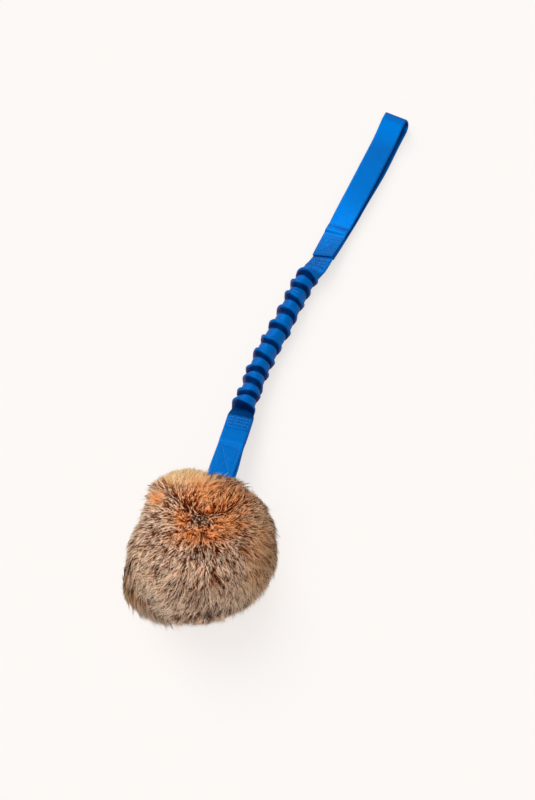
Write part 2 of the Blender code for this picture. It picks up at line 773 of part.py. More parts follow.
def strap_top_place(x, y, lie):
    return Vector((x, y, strap_layer_height(x) + lie))


def handle_top_route():
    """Upper layer above the lower one, from the stitched end to the bulge by the far bend."""
    lap = UPPER_LAP + CLEARANCE
    closed = 2 * lap_layer_offset
    opened = HANDLE_LENGTH - lap
    shares = [(0.04, 0.12), (0.10, 0.55), (0.17, 0.90), (0.30, 1.0), (0.55, 1.05)]
    route = [(0.0, closed), (lap / 2, closed), (lap, closed)]
    route += [(lap + opened * along, closed + (LOOP_WAIST - closed) * up) for along, up in shares]
    return route + [(lap + opened * 0.75, (LOOP_WAIST + LOOP_CREST) / 2),
                    (HANDLE_LENGTH - 2 * LOOP_BEND_RADIUS, LOOP_CREST)]


def handle_top_lift(x):
    """Height of the upper layer above the lower one at x past the stitched end."""
    line = handle_top_line
    for (x0, z0), (x1, z1) in zip(line, line[1:]):
        if x0 <= x <= x1:
            return z0 + (z1 - z0) * (x - x0) / (x1 - x0)
    return line[0][1] if x < line[0][0] else line[-1][1]


def handle_line():
    """Whole loop: upper layer out, round the far bend, and back along the lower layer."""
    centre = (HANDLE_LENGTH - WEBBING_THICKNESS / 2 - LOOP_BEND_RADIUS, LOOP_BEND_RADIUS)
    shoulder_rise = LOOP_CREST - 2 * LOOP_BEND_RADIUS
    bend = []
    for degrees in (75, 50, 25, 0, -25, -50, -75, -90):
        angle = math.radians(degrees)
        lift = shoulder_rise * max(0.0, math.sin(angle)) ** 2
        bend.append((centre[0] + LOOP_BEND_RADIUS * math.cos(angle),
                     centre[1] + LOOP_BEND_RADIUS * math.sin(angle) + lift))
    steps = 26
    lower = [(centre[0] * (1 - index / steps), 0.0) for index in range(1, steps + 1)]
    return handle_top_line[:-1] + smooth_line([handle_top_line[-1]] + bend, 2) + lower


def make_handle(parent):
    webbing_strip("handle_loop", handle_line(), parent, materials["webbing"], handle_place,
                  facets_across=4)
    box_start = BOX_MARGIN
    make_box_stitch("handle_box_stitch", box_start, HANDLE_BOX_LENGTH, handle_top_place, parent)
    row = box_start + HANDLE_BOX_LENGTH + BOX_MARGIN
    make_cross_stitch("handle_cross_stitch", row, handle_top_place, parent)


# Assembly

for old in list(bpy.data.objects):
    bpy.data.objects.remove(old, do_unlink=True)
collections = {"parts": new_collection(SOURCE_COLLECTION), "cutters": new_collection(CUTTER_COLLECTION)}
materials = {
    "rubber": new_material("rubber", (0.05, 0.05, 0.055), 0.7),
    "hide": new_material("hide", (0.62, 0.42, 0.34), 0.8),
    "fur": new_material("fur", (0.30, 0.19, 0.13), 0.9),
    "webbing": new_material("webbing", (0.0, 0.19, 0.68), 0.55),
    "sleeve": new_material("sleeve", (0.0, 0.16, 0.60), 0.6),
    "elastic": new_material("elastic", (0.85, 0.85, 0.82), 0.6),
    "thread_blue": new_material("thread_blue", (0.02, 0.25, 0.75), 0.5),
    "thread_tan": new_material("thread_tan", (0.45, 0.33, 0.22), 0.6),
}

middle_line = trace_middle_line()
handle_top_line = smooth_line(handle_top_route(), 4)

toy = new_axis("toy_origin", None, Matrix.Identity(4))
level_axis = new_axis("ball_level_axis", toy,
                      Matrix.Translation((0, 0, REST_HEIGHT)) @ Matrix.Rotation(STRAP_YAW, 4, "Z"))
ball_axis = new_axis("ball_axis", level_axis, level_axis.matrix_world @ Matrix.Rotation(-strap_pitch, 4, "Y"))
strap_bend = new_axis("strap_bend_axis", toy, Matrix.Translation(line_frame(0.0)[0]))
side_bend = new_axis("bungee_side_bend_axis", strap_bend, Matrix.Translation(line_frame(end_run)[0]))
twist = new_axis("bungee_twist_axis", side_bend, Matrix.Translation(line_frame(tug_length - end_run)[0]))
upper_seam, _, handle_width, _ = line_frame(tug_length)
handle_axis = new_axis("handle_bend_axis", twist,
                       Matrix.Translation(upper_seam) @ Matrix.Rotation(HANDLE_YAW, 4, "Z"))

make_ball_core(ball_axis)
make_hide_panel("hide_main", -1, ball_axis)
make_hide_panel("hide_side", 1, ball_axis)
channel, void = make_pile_cutters(ball_axis)
make_pile("fur_main", -1, ball_axis, level_axis, channel, void)
make_pile("fur_side", 1, ball_axis, level_axis, channel, void)
make_seam_thread(ball_axis)
make_ball_strap(ball_axis)
box_end = STRAP_REACH - LOWER_LAP - BOX_MARGIN
make_cross_stitch("strap_cross_stitch", box_end, strap_top_place, ball_axis)
make_box_stitch("strap_box_stitch", box_end - BOX_MARGIN - strap_box_length, strap_box_length,
                strap_top_place, ball_axis)
make_bungee_cord(side_bend)
make_bungee_sleeve(twist)
for row in range(TACK_ROWS):
    along = TACK_ZONE - (row + 0.5) * TACK_PITCH
    make_bar_tack(f"lower_bar_tack_{row + 1}", along, strap_bend)
    make_bar_tack(f"upper_bar_tack_{row + 1}", tug_length - along, twist)
make_handle(handle_axis)

# The origin goes under the middle of the finished toy.
bpy.context.view_layer.update()
graph = bpy.context.evaluated_depsgraph_get()
corners = []
for piece in collections["parts"].objects:
    if piece.type != "EMPTY":
        shape = piece.evaluated_get(graph).to_mesh()
        corners += [piece.matrix_world @ vert.co for vert in shape.vertices]
low = Vector(min(corner[axis] for corner in corners) for axis in range(3))
high = Vector(max(corner[axis] for corner in corners) for axis in range(3))
toy.location = (-(low.x + high.x) / 2, -(low.y + high.y) / 2, -low.z)
bpy.context.view_layer.update()

print("size", [round(value, 5) for value in high - low])
print("shift", [round(value, 6) for value in toy.location])
for axis in (ball_axis, strap_bend, side_bend, twist, handle_axis):
    print(axis.name, [round(value, 5) for value in axis.matrix_world.translation])
print("width at the loop's stitched end", [round(value, 4) for value in handle_width])
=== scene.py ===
# Bungee tug toy: fur ball, doubled webbing strap, ruched elastic tug section, webbing hand loop.
# Metres, +Z up, +X from the ball to the hand loop. Pieces ride on bodies of the imported frame, all but the
# sleeve and its elastic, which are left unparented.

import math

import bpy
import numpy as np
from mathutils import Matrix, Vector, kdtree


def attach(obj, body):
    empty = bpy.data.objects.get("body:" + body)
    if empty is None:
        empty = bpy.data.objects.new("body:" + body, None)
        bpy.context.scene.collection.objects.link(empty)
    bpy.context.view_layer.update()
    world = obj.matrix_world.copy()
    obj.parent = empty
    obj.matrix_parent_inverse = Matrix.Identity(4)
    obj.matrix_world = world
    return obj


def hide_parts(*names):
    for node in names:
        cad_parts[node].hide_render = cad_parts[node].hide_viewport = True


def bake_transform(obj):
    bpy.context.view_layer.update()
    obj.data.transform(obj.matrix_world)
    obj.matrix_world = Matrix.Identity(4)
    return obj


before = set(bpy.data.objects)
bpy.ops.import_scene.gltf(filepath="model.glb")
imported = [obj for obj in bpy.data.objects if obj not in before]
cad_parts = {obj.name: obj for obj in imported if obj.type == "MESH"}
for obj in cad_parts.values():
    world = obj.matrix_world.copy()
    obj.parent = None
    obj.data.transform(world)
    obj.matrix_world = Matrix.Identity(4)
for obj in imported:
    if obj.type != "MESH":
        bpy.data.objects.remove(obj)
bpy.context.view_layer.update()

for item in bpy.context.selected_objects:
    item.select_set(False)
print("frame loaded")

# Where things lie, as in the solids.

layout = {
    "shift": (-0.246881, -0.000108, 0.0),  # core's foot point to the toy's origin
    "ballHeight": 0.0560,
    "strapReach": 0.1410,  # core centre to the strap's stitched end
    "seamHeight": 0.0255,
    "strapYaw": math.radians(8.3),
    "lowerLap": 0.0140,
    "upperLap": 0.0300,
    "tackZone": 0.0155,
    "funnel": 0.0140,
    "rufflePitch": 0.0168,
    "pitches": 10,
    "swayPitches": 2.5,  # over these the strap's yaw fades
    "crestRadius": 0.0110,
    "floorRoom": 0.0003,
    "handleYaw": math.radians(-4.3),
    "handleRoll": math.radians(-28),
    "rollEnd": 0.1100,
    "handleJog": 0.0090,
    "jogRun": 0.0460,
    "handleLength": 0.1980,
    "webbingWidth": 0.0250,
    "webbingThickness": 0.0017,
    "clearance": 0.0003,
    "sleeveWall": 0.0009,
}
shift = np.array(layout["shift"])
ballCentre = np.array((layout["shift"][0], layout["shift"][1], layout["ballHeight"]))
endRun = layout["tackZone"] + layout["funnel"]
tugLength = 2 * endRun + layout["pitches"] * layout["rufflePitch"]
strapPitch = -math.asin((layout["ballHeight"] - layout["seamHeight"]) / layout["strapReach"])
yawTurn = Matrix.Rotation(layout["strapYaw"], 3, "Z")
strapTurn = np.array(yawTurn)
ballTurn = np.array(yawTurn @ Matrix.Rotation(-strapPitch, 3, "Y"))
halfWebbing = layout["webbingThickness"] / 2
lapOffset = layout["clearance"] * 1.5 + layout["sleeveWall"] + halfWebbing
closedOffset = layout["clearance"] / 2 + halfWebbing
rollSine = math.sin(abs(layout["handleRoll"]))
jointHeight = halfWebbing + layout["webbingWidth"] / 2 * rollSine + lapOffset * math.cos(layout["handleRoll"])


def ease(t):
    t = np.clip(t, 0.0, 1.0)
    return t * t * (3 - 2 * t)


def hermite(t, start, startSlope, end, endSlope):
    return (start * (2 * t**3 - 3 * t**2 + 1) + startSlope * (t**3 - 2 * t**2 + t)
            + end * (3 * t**2 - 2 * t**3) + endSlope * (t**3 - t**2))


def handleRoll(x):
    return layout["handleRoll"] * np.maximum(0.0, 1 - np.asarray(x) / layout["rollEnd"]) ** 2


def handleLocal(x, y, lift):
    # a point of the loop in its hinge's axes; lift is above the lower layer's middle face
    roll = handleRoll(x)
    z = (halfWebbing + layout["webbingWidth"] / 2 * np.sin(np.abs(roll)) + y * np.sin(roll)
         + lift * np.cos(roll) - jointHeight)
    return x, y * np.cos(roll) - (lift - lapOffset) * np.sin(roll), z


def lapHeight(x):
    return jointHeight + handleLocal(x, 0.0, lapOffset)[2]


def lineHeight(s):
    startSlope = math.sin(strapPitch)
    rest = layout["crestRadius"] + layout["floorRoom"]
    settle = tugLength - endRun
    slope = max(startSlope * settle, -3 * (layout["seamHeight"] - rest))
    endSlope = (lapHeight(endRun / 10) - jointHeight) * 10
    return np.select(
        [s <= 0, s <= settle, s <= tugLength],
        [layout["seamHeight"] + startSlope * s,
         hermite(s / settle, layout["seamHeight"], slope, rest, 0.0),
         hermite((s - settle) / endRun, rest, 0.0, jointHeight, endSlope)],
        lapHeight(np.maximum(s - tugLength, 0.0)))


def lineSide(s):
    slope = math.sin(layout["strapYaw"]) * math.cos(strapPitch)
    run = layout["swayPitches"] * layout["rufflePitch"]
    x = np.clip((s - layout["tackZone"]) / run, 0.0, 1.0)
    fading = layout["tackZone"] + run * (x - x**3 + x**4 / 2)
    side = slope * (layout["strapReach"] + np.where(s > layout["tackZone"], fading, s))
    jog = np.clip((s - tugLength) / layout["jogRun"] + 1, 0.0, 1.0)
    yawSlope = math.sin(layout["handleYaw"])
    side += hermite(jog, 0.0, 0.0, -layout["handleJog"], yawSlope * layout["jogRun"])
    return side + yawSlope * np.maximum(s - tugLength, 0.0)


# middle line of the tug section: s is the distance past the strap's stitched end
lineStep = 0.00025
lineS = np.arange(-layout["lowerLap"], tugLength + layout["upperLap"] + lineStep, lineStep)
rise = np.diff(lineHeight(lineS)) / lineStep
sway = np.diff(lineSide(lineS)) / lineStep
advance = np.where(lineS[:-1] < tugLength, np.sqrt(1 - rise**2 - sway**2), math.cos(layout["handleYaw"]))
lineX = np.concatenate([[0.0], np.cumsum(advance * lineStep)])
lineX += math.cos(strapPitch) * math.cos(layout["strapYaw"]) * (layout["strapReach"] - layout["lowerLap"])
linePoint = np.stack([lineX, lineSide(lineS), lineHeight(lineS)], 1) + shift
lineForward = np.gradient(linePoint, axis=0)
lineForward /= np.linalg.norm(lineForward, axis=1)[:, None]
lineAcross = np.cross((0.0, 0.0, 1.0), lineForward)
lineAcross /= np.linalg.norm(lineAcross, axis=1)[:, None]
lineRoll = handleRoll(np.maximum(lineS - tugLength, 0.0)) * ease((lineS - tugLength) / layout["jogRun"] + 1)
lineAcross = (lineAcross * np.cos(lineRoll)[:, None]
              + np.cross(lineForward, lineAcross) * np.sin(lineRoll)[:, None])
lineUp = np.cross(lineForward, lineAcross)


def alongLine(table, s):
    return np.stack([np.interp(s, lineS, table[:, axis]) for axis in range(3)], -1)


# the limp toy lies a little beside the solids' middle line: (mm past the strap's end, mm to its right)
courseTable = np.array([
    (-111, 0.0), (-81, -2.6), (-66, -3.9), (-41, -3.1), (-14, -1.8), (0, -1.3), (30, -0.8), (50, -0.8),
    (68, -2.0), (85, -2.6), (100, -2.6), (115, -1.2), (130, 0.0), (150, 1.1), (170, 1.8), (190, 2.5),
    (210, 2.1), (227, 1.3), (260, 1.3), (290, 1.9), (310, 1.7), (330, 1.3), (350, 1.0), (370, 0.5),
    (395, -0.3), (425, -0.6),
]) / 1000
courseSpots = np.arange(courseTable[0, 0], courseTable[-1, 0], 0.001)
courseSides = np.interp(courseSpots, courseTable[:, 0], courseTable[:, 1])
softening = np.hanning(21)[1:-1] / np.hanning(21).sum()
courseSides = np.convolve(np.pad(courseSides, len(softening) // 2, "edge"), softening, "valid")


def course(s):
    return np.interp(s, courseSpots, courseSides)


def tugPoint(s, across, up):
    s, across, up = (np.asarray(v, float) for v in (s, across, up))
    across = across - course(s)
    return (alongLine(linePoint, s) + alongLine(lineAcross, s) * across[..., None]
            + alongLine(lineUp, s) * up[..., None])


handleSeam = alongLine(linePoint, np.array([tugLength]))[0]


def handlePoint(x, y, lift):
    x = np.asarray(x, float)
    x, y, z = handleLocal(x, np.asarray(y, float) - course(tugLength + x), np.asarray(lift, float))
    c, q = math.cos(layout["handleYaw"]), math.sin(layout["handleYaw"])
    return np.stack([x * c - y * q, x * q + y * c, z + 0 * x], -1) + handleSeam


# Material nodes.


def newMaterial(name):
    material = bpy.data.materials.new(name)
    material.use_nodes = True
    nodes = material.node_tree.nodes
    return material, nodes, material.node_tree.links, nodes["Principled BSDF"]


def mathNode(nodes, links, operation, *values):
    node = nodes.new("ShaderNodeMath")
    node.operation = operation
    for socket, value in zip(node.inputs, values):
        if isinstance(value, (int, float)):
            socket.default_value = value
        else:
            links.new(value, socket)
    return node.outputs[0]


def mixColour(nodes, links, share, first, second, blend="MIX"):
    node = nodes.new("ShaderNodeMix")
    node.data_type = "RGBA"
    node.blend_type = blend
    for socket, value in ((node.inputs[0], share), (node.inputs[6], first), (node.inputs[7], second)):
        if isinstance(value, bpy.types.NodeSocket):
            links.new(value, socket)
        elif isinstance(value, tuple):
            socket.default_value = (*value, 1)
        else:
            socket.default_value = value
    return node.outputs[2]


def mixShader(nodes, links, share, first, second, surface):
    node = nodes.new("ShaderNodeMixShader")
    for socket, value in zip(node.inputs, (share, first, second)):
        links.new(value, socket)
    links.new(node.outputs[0], surface)


def noiseNode(nodes, links, vector, scale, detail, roughness=0.55):
    node = nodes.new("ShaderNodeTexNoise")
    node.inputs["Scale"].default_value = scale
    node.inputs["Detail"].default_value = detail
    node.inputs["Roughness"].default_value = roughness
    links.new(vector, node.inputs["Vector"])
    return node.outputs["Fac"]


def attributeNode(nodes, name):
    node = nodes.new("ShaderNodeAttribute")
    node.attribute_name = name
    return node.outputs


def rampNode(nodes, links, value, stops):
    node = nodes.new("ShaderNodeValToRGB")
    ramp = node.color_ramp
    while len(ramp.elements) < len(stops):
        ramp.elements.new(0.5)
    for element, (place, colour) in zip(ramp.elements, stops):
        element.position = place
        element.color = (*colour, 1)
    links.new(value, node.inputs["Fac"])
    return node.outputs["Color"]


def bumpNode(nodes, links, height, strength, shader):
    bump = nodes.new("ShaderNodeBump")
    bump.inputs["Strength"].default_value = strength
    bump.inputs["Distance"].default_value = 0.0003
    links.new(height, bump.inputs["Height"])
    links.new(bump.outputs[0], shader.inputs["Normal"])


# Camera, floor and light.

view = {
    "target": (-0.0575, 0.0096, 0.0),
    "place": (-0.6285, -0.2153, 1.2583),
    "lens": 63.0,
    "sensor": 36,
}
camera = bpy.data.objects.new("camera", bpy.data.cameras.new("camera"))
bpy.context.scene.collection.objects.link(camera)
camera.location = view["place"]
camera.rotation_euler = (Vector(view["target"]) - Vector(view["place"])).to_track_quat("-Z", "Y").to_euler()
camera.data.lens = view["lens"]
camera.data.sensor_width = view["sensor"]
bpy.context.scene.camera = camera
bpy.context.scene.view_settings.view_transform = "Standard"

studio = {
    "floorSize": 8,
    "floorColour": (0.890, 0.858, 0.835),
    "floorGlow": 0.72,  # share of the floor that the camera sees at full white, which lightens the shadows
    "backdrop": (0.965, 0.930, 0.905),
    "skyColour": (1.0, 0.99, 0.98),
    "skyStrength": 0.34,
    "lampColour": (1.0, 0.995, 0.985),
    # from where, strength, spread in degrees
    "lamps": {"windowLight": ((0.42, 0.50, 0.76), 1.55, 36), "sideLight": ((-0.30, 0.12, 0.94), 1.50, 50)},
}
bpy.ops.mesh.primitive_plane_add(size=studio["floorSize"], location=(0, 0, -0.0002))
floor = bpy.context.object
floor.name = "floor"
floorMaterial, nodes, links, shader = newMaterial("paleFloor")
shader.inputs["Base Color"].default_value = (*studio["floorColour"], 1)
shader.inputs["Roughness"].default_value = 0.9
shader.inputs["Specular IOR Level"].default_value = 0.0
glow = nodes.new("ShaderNodeEmission")
glow.inputs["Color"].default_value = (*studio["backdrop"], 1)
ray = nodes.new("ShaderNodeLightPath")
glowShare = mathNode(nodes, links, "MULTIPLY", ray.outputs["Is Camera Ray"], studio["floorGlow"])
floorSurface = nodes["Material Output"].inputs["Surface"]
mixShader(nodes, links, glowShare, shader.outputs[0], glow.outputs[0], floorSurface)
floor.data.materials.append(floorMaterial)

for name, (source, strength, spread) in studio["lamps"].items():
    lamp = bpy.data.objects.new(name, bpy.data.lights.new(name, "SUN"))
    bpy.context.scene.collection.objects.link(lamp)
    lamp.rotation_euler = Vector(source).to_track_quat("Z", "Y").to_euler()
    lamp.data.energy = strength
    lamp.data.angle = math.radians(spread)
    lamp.data.color = studio["lampColour"]
world = bpy.data.worlds.new("studio")
bpy.context.scene.world = world
world.use_nodes = True
nodes, links = world.node_tree.nodes, world.node_tree.links
sky = nodes["Background"]
sky.inputs["Color"].default_value = (*studio["skyColour"], 1)
sky.inputs["Strength"].default_value = studio["skyStrength"]
seen = nodes.new("ShaderNodeBackground")
seen.inputs["Color"].default_value = (*studio["backdrop"], 1)
ray = nodes.new("ShaderNodeLightPath")
seenShare = mathNode(nodes, links, "MAXIMUM", ray.outputs["Is Camera Ray"], ray.outputs["Is Glossy Ray"])
mixShader(nodes, links, seenShare, sky.outputs[0], seen.outputs[0], nodes["World Output"].inputs["Surface"])
print("camera, floor and light ready")

# Finishes.


def wovenMaterial(name, look):
    # plain weave on the piece's own map, which is in metres along and across the webbing
    material, nodes, links, shader = newMaterial(name)
    weaveMap = nodes.new("ShaderNodeUVMap")
    weaveMap.uv_map = "UVMap"
    split = nodes.new("ShaderNodeSeparateXYZ")
    links.new(weaveMap.outputs["UV"], split.inputs[0])
    weft = mathNode(nodes, links, "MULTIPLY", split.outputs[0], 2 * math.pi / look["weftPitch"])
    warp = mathNode(nodes, links, "MULTIPLY", split.outputs[1], 2 * math.pi / look["warpPitch"])
    weave = mathNode(nodes, links, "MULTIPLY",
                     mathNode(nodes, links, "SINE", weft), mathNode(nodes, links, "SINE", warp))
    ribs = mathNode(nodes, links, "SINE", mathNode(nodes, links, "MULTIPLY", weft, 0.5))
    height = mathNode(nodes, links, "ADD", mathNode(nodes, links, "MULTIPLY", weave, look["weaveShare"]),
                      mathNode(nodes, links, "MULTIPLY", ribs, look["ribShare"]))
    place = nodes.new("ShaderNodeTexCoord").outputs["Object"]
    fibre = noiseNode(nodes, links, place, look["fibreScale"], 2.0)
    fade = noiseNode(nodes, links, place, look["fadeScale"], 3.0)
    height = mathNode(nodes, links, "MULTIPLY_ADD", fibre, look["fibreShare"], height)
    bumpNode(nodes, links, height, look["bump"], shader)
    # the colour follows the weave's height: darker where it lies low, brighter on its crests
    yarn = mathNode(nodes, links, "MULTIPLY_ADD", height, look["yarnContrast"], look["yarnMiddle"])
    colour = mixColour(nodes, links, yarn, look["dark"], look["bright"])
    fadeShare = mathNode(nodes, links, "MULTIPLY", fade, look["fadeShare"])
    colour = mixColour(nodes, links, fadeShare, colour, look["faded"])
    # painted shade in the sleeve's tucks and hollows, from the piece's attribute
    if "paintedShade" in look:
        colour = mixColour(nodes, links, attributeNode(nodes, "paintedShade")["Fac"], colour, look["paintedShade"])
    links.new(colour, shader.inputs["Base Color"])
    shader.inputs["Metallic"].default_value = look["gloss"]
    shader.inputs["Roughness"].default_value = look["roughness"]
    shader.inputs["Specular IOR Level"].default_value = look["specular"]
    shader.inputs["Specular Tint"].default_value = (*look["specularTint"], 1)
    shader.inputs["Sheen Weight"].default_value = look["sheen"]
    shader.inputs["Sheen Roughness"].default_value = look["sheenRoughness"]
    shader.inputs["Sheen Tint"].default_value = (*look["sheenTint"], 1)
    return material


webbingLook = {
    "bright": (0.0, 0.142, 0.480),
    "dark": (0.0, 0.062, 0.270),
    "faded": (0.0, 0.108, 0.395),
    "weftPitch": 0.00085,
    "warpPitch": 0.00110,
    "weaveShare": 0.5,
    "ribShare": 0.25,
    "fibreShare": 0.6,
    "fibreScale": 900,
    "fadeShare": 0.35,
    "fadeScale": 38,
    "yarnMiddle": 0.42,
    "yarnContrast": 0.20,
    "bump": 0.25,
    "roughness": 0.30,
    "gloss": 0.46,
    "specular": 0.20,
    "specularTint": (0.0, 0.35, 1.0),
    "sheen": 0.03,
    "sheenRoughness": 0.35,
    "sheenTint": (0.03, 0.35, 1.0),
}
# the sleeve's near-black blue is painted shade in its tucks and hollows
sleeveLook = dict(webbingLook, weftPitch=0.00070, warpPitch=0.00080, ribShare=0.35, paintedShade=(0.0, 0.004, 0.045),
                  bright=(0.0, 0.145, 0.500), dark=(0.0, 0.060, 0.280), faded=(0.0, 0.108, 0.400),
                  gloss=0.26, roughness=0.38)
webbing = wovenMaterial("blueWebbing", webbingLook)
tubular = wovenMaterial("blueTubularWebbing", sleeveLook)


def plainMaterial(name, look):
    material, nodes, links, shader = newMaterial(name)
    place = nodes.new("ShaderNodeTexCoord").outputs["Object"]
    grain = noiseNode(nodes, links, place, look["grain"], 4.0)
    links.new(mixColour(nodes, links, grain, look["low"], look["high"]), shader.inputs["Base Color"])
    bumpNode(nodes, links, grain, look["bump"], shader)
    shader.inputs["Roughness"].default_value = look["roughness"]
    return material


plainLooks = {
    "blueThread": {"low": (0.0, 0.12, 0.42), "high": (0.0, 0.19, 0.58), "grain": 1500, "bump": 0.4,
                   "roughness": 0.42},
    "tanThread": {"low": (0.30, 0.20, 0.12), "high": (0.50, 0.38, 0.26), "grain": 1500, "bump": 0.4,
                  "roughness": 0.6},
    "blackRubber": {"low": (0.025, 0.025, 0.028), "high": (0.05, 0.05, 0.055), "grain": 220, "bump": 0.25,
                    "roughness": 0.6},
    "rawSkin": {"low": (0.46, 0.26, 0.20), "high": (0.70, 0.48, 0.40), "grain": 160, "bump": 0.5,
                "roughness": 0.75},
    "paleElastic": {"low": (0.62, 0.61, 0.58), "high": (0.86, 0.85, 0.82), "grain": 700, "bump": 0.5,
                    "roughness": 0.65},
    "darkUnderfur": {"low": (0.022, 0.006, 0.002), "high": (0.070, 0.022, 0.008), "grain": 420, "bump": 1.0,
                     "roughness": 0.9},
}
plain = {name: plainMaterial(name, look) for name, look in plainLooks.items()}
print("finishes ready")

# Rolled and flat pieces: a grid is laid along a line and closed round a section.


def gridPiece(name, rings, sides, place, lengthOf, widthOf, material, paintedShadeOf=None):
    bpy.ops.object.select_all(action="DESELECT")
    bpy.ops.mesh.primitive_grid_add(x_subdivisions=rings - 1, y_subdivisions=sides, size=1)
    piece = bpy.context.object
    piece.name = name
    mesh = piece.data
    spots = np.empty(len(mesh.vertices) * 3)
    mesh.vertices.foreach_get("co", spots)
    spots = spots.reshape(-1, 3)
    ring = np.rint((spots[:, 0] + 0.5) * (rings - 1)).astype(int)
    side = np.rint((spots[:, 1] + 0.5) * sides).astype(int)
    mesh.vertices.foreach_set("co", place(ring, side / sides).ravel())
    # an optional attribute of painted shade
    if paintedShadeOf is not None:
        values = paintedShadeOf(ring, side / sides).astype(np.float32)
        mesh.attributes.new("paintedShade", "FLOAT", "POINT").data.foreach_set("value", values)
    layer = mesh.uv_layers[0]
    corners = np.empty(len(mesh.loops) * 2)
    layer.data.foreach_get("uv", corners)
    corners = corners.reshape(-1, 2)
    corners[:, 0] = np.asarray(lengthOf)[np.rint(corners[:, 0] * (rings - 1)).astype(int)]
    corners[:, 1] *= widthOf
    layer.data.foreach_set("uv", corners.ravel())
    layer.name = "UVMap"
    bpy.ops.object.mode_set(mode="EDIT")
    bpy.ops.mesh.select_all(action="SELECT")
    bpy.ops.mesh.remove_doubles(threshold=0.000002)
    bpy.ops.mesh.normals_make_consistent(inside=False)
    bpy.ops.object.mode_set(mode="OBJECT")
    bpy.ops.object.shade_smooth()
    mesh.materials.append(material)
    return piece


def superEllipse(halfWide, halfHigh, power, turn):
    c, q = np.cos(turn), np.sin(turn)
    across = halfWide * np.sign(c) * np.abs(c) ** (2 / power)
    return across, halfHigh * np.sign(q) * np.abs(q) ** (2 / power)


def webbingSection():
    # flat faces with even points, round edges
    flat = layout["webbingWidth"] / 2 - halfWebbing
    edge = np.radians((-90, -45, 0, 45, 90))
    face = np.linspace(flat, -flat, 22)[1:-1]
    edgeAcross, edgeUp = flat + halfWebbing * np.cos(edge), halfWebbing * np.sin(edge)
    across = np.concatenate([edgeAcross, face, -edgeAcross, -face])
    return across, np.concatenate([edgeUp, 0 * face + halfWebbing, -edgeUp, 0 * face - halfWebbing])


def webbingPiece(name, middle, pointAt, material, sink=None):
    # middle: rows of (x, lift) along the strip; pointAt(x, y, lift) gives the place
    middle = np.asarray(middle)
    ahead = np.gradient(middle, axis=0)
    ahead /= np.linalg.norm(ahead, axis=1)[:, None]
    gaps = np.linalg.norm(np.diff(middle, axis=0), axis=1)
    length = np.concatenate([[0.0], [0.0], np.cumsum(gaps), [0.0]])
    length[-1] = length[-2]
    across, up = webbingSection()
    sides = len(across)
    rings = len(middle) + 2  # a cap ring at each end

    def place(ring, share):
        at = np.clip(ring - 1, 0, len(middle) - 1)
        spot = np.rint(share * sides).astype(int) % sides
        full = ((ring > 0) & (ring < rings - 1)).astype(float)
        y = across[spot] * full
        offset = up[spot] * full
        base, forward = middle[at], ahead[at]
        if sink is not None:
            offset = offset - np.sign(up[spot]) * full * sink(base[:, 0], y, base[:, 1])
        return pointAt(base[:, 0] - forward[:, 1] * offset, y, base[:, 1] + forward[:, 0] * offset)

    return gridPiece(name, rings, sides, place, length, 2 * layout["webbingWidth"], material)


def smoothLine(points, step):
    # Catmull-Rom line through the points, then evened out to the step
    points = np.asarray(points, float)
    knots = np.vstack([2 * points[0] - points[1], points, 2 * points[-1] - points[-2]])
    fine = []
    for before, start, end, after in zip(knots, knots[1:], knots[2:], knots[3:]):
        t = np.linspace(0, 1, 24, endpoint=False)[:, None]
        fine.append(0.5 * (2 * start + (end - before) * t + (2 * before - 5 * start + 4 * end - after) * t**2
                           + (3 * start - before - 3 * end + after) * t**3))
    return evened(np.vstack([*fine, points[-1:]]), step)


def evened(line, step):
    run = np.concatenate([[0.0], np.cumsum(np.linalg.norm(np.diff(line, axis=0), axis=1))])
    count = max(3, int(round(run[-1] / step)) + 1)
    target = np.linspace(0, run[-1], count)
    return np.stack([np.interp(target, run, line[:, axis]) for axis in range(line.shape[1])], 1)


# Stitches: one bent dash, copied along rows.

stitching = {
    "pitch": 0.0031,
    "gap": 0.0005,
    "crossInset": 0.0020,  # the cross keeps this far inside its box
    "rowHalf": 0.0108,
    "rowCount": 16,
    "rowSwing": 0.0007,
    "thick": 0.00030,
    "rise": 0.00014,
    "dip": 0.0004,
    "pucker": 0.00010,  # how deep a stitch draws the webbing in
    "puckerReach": 0.0016,
}
bpy.ops.object.select_all(action="DESELECT")
bpy.ops.mesh.primitive_cylinder_add(vertices=6, radius=1, depth=1, end_fill_type="TRIFAN")
dash = bpy.context.object
bpy.ops.object.mode_set(mode="EDIT")
for height in (-0.36, -0.12, 0.12, 0.36):
    bpy.ops.mesh.select_all(action="SELECT")
    bpy.ops.mesh.bisect(plane_co=(0, 0, height), plane_no=(0, 0, 1))
bpy.ops.object.mode_set(mode="OBJECT")
dashSpots = np.array([v.co for v in dash.data.vertices])
dashFaces = [tuple(face.vertices) for face in dash.data.polygons]
bpy.data.objects.remove(dash)


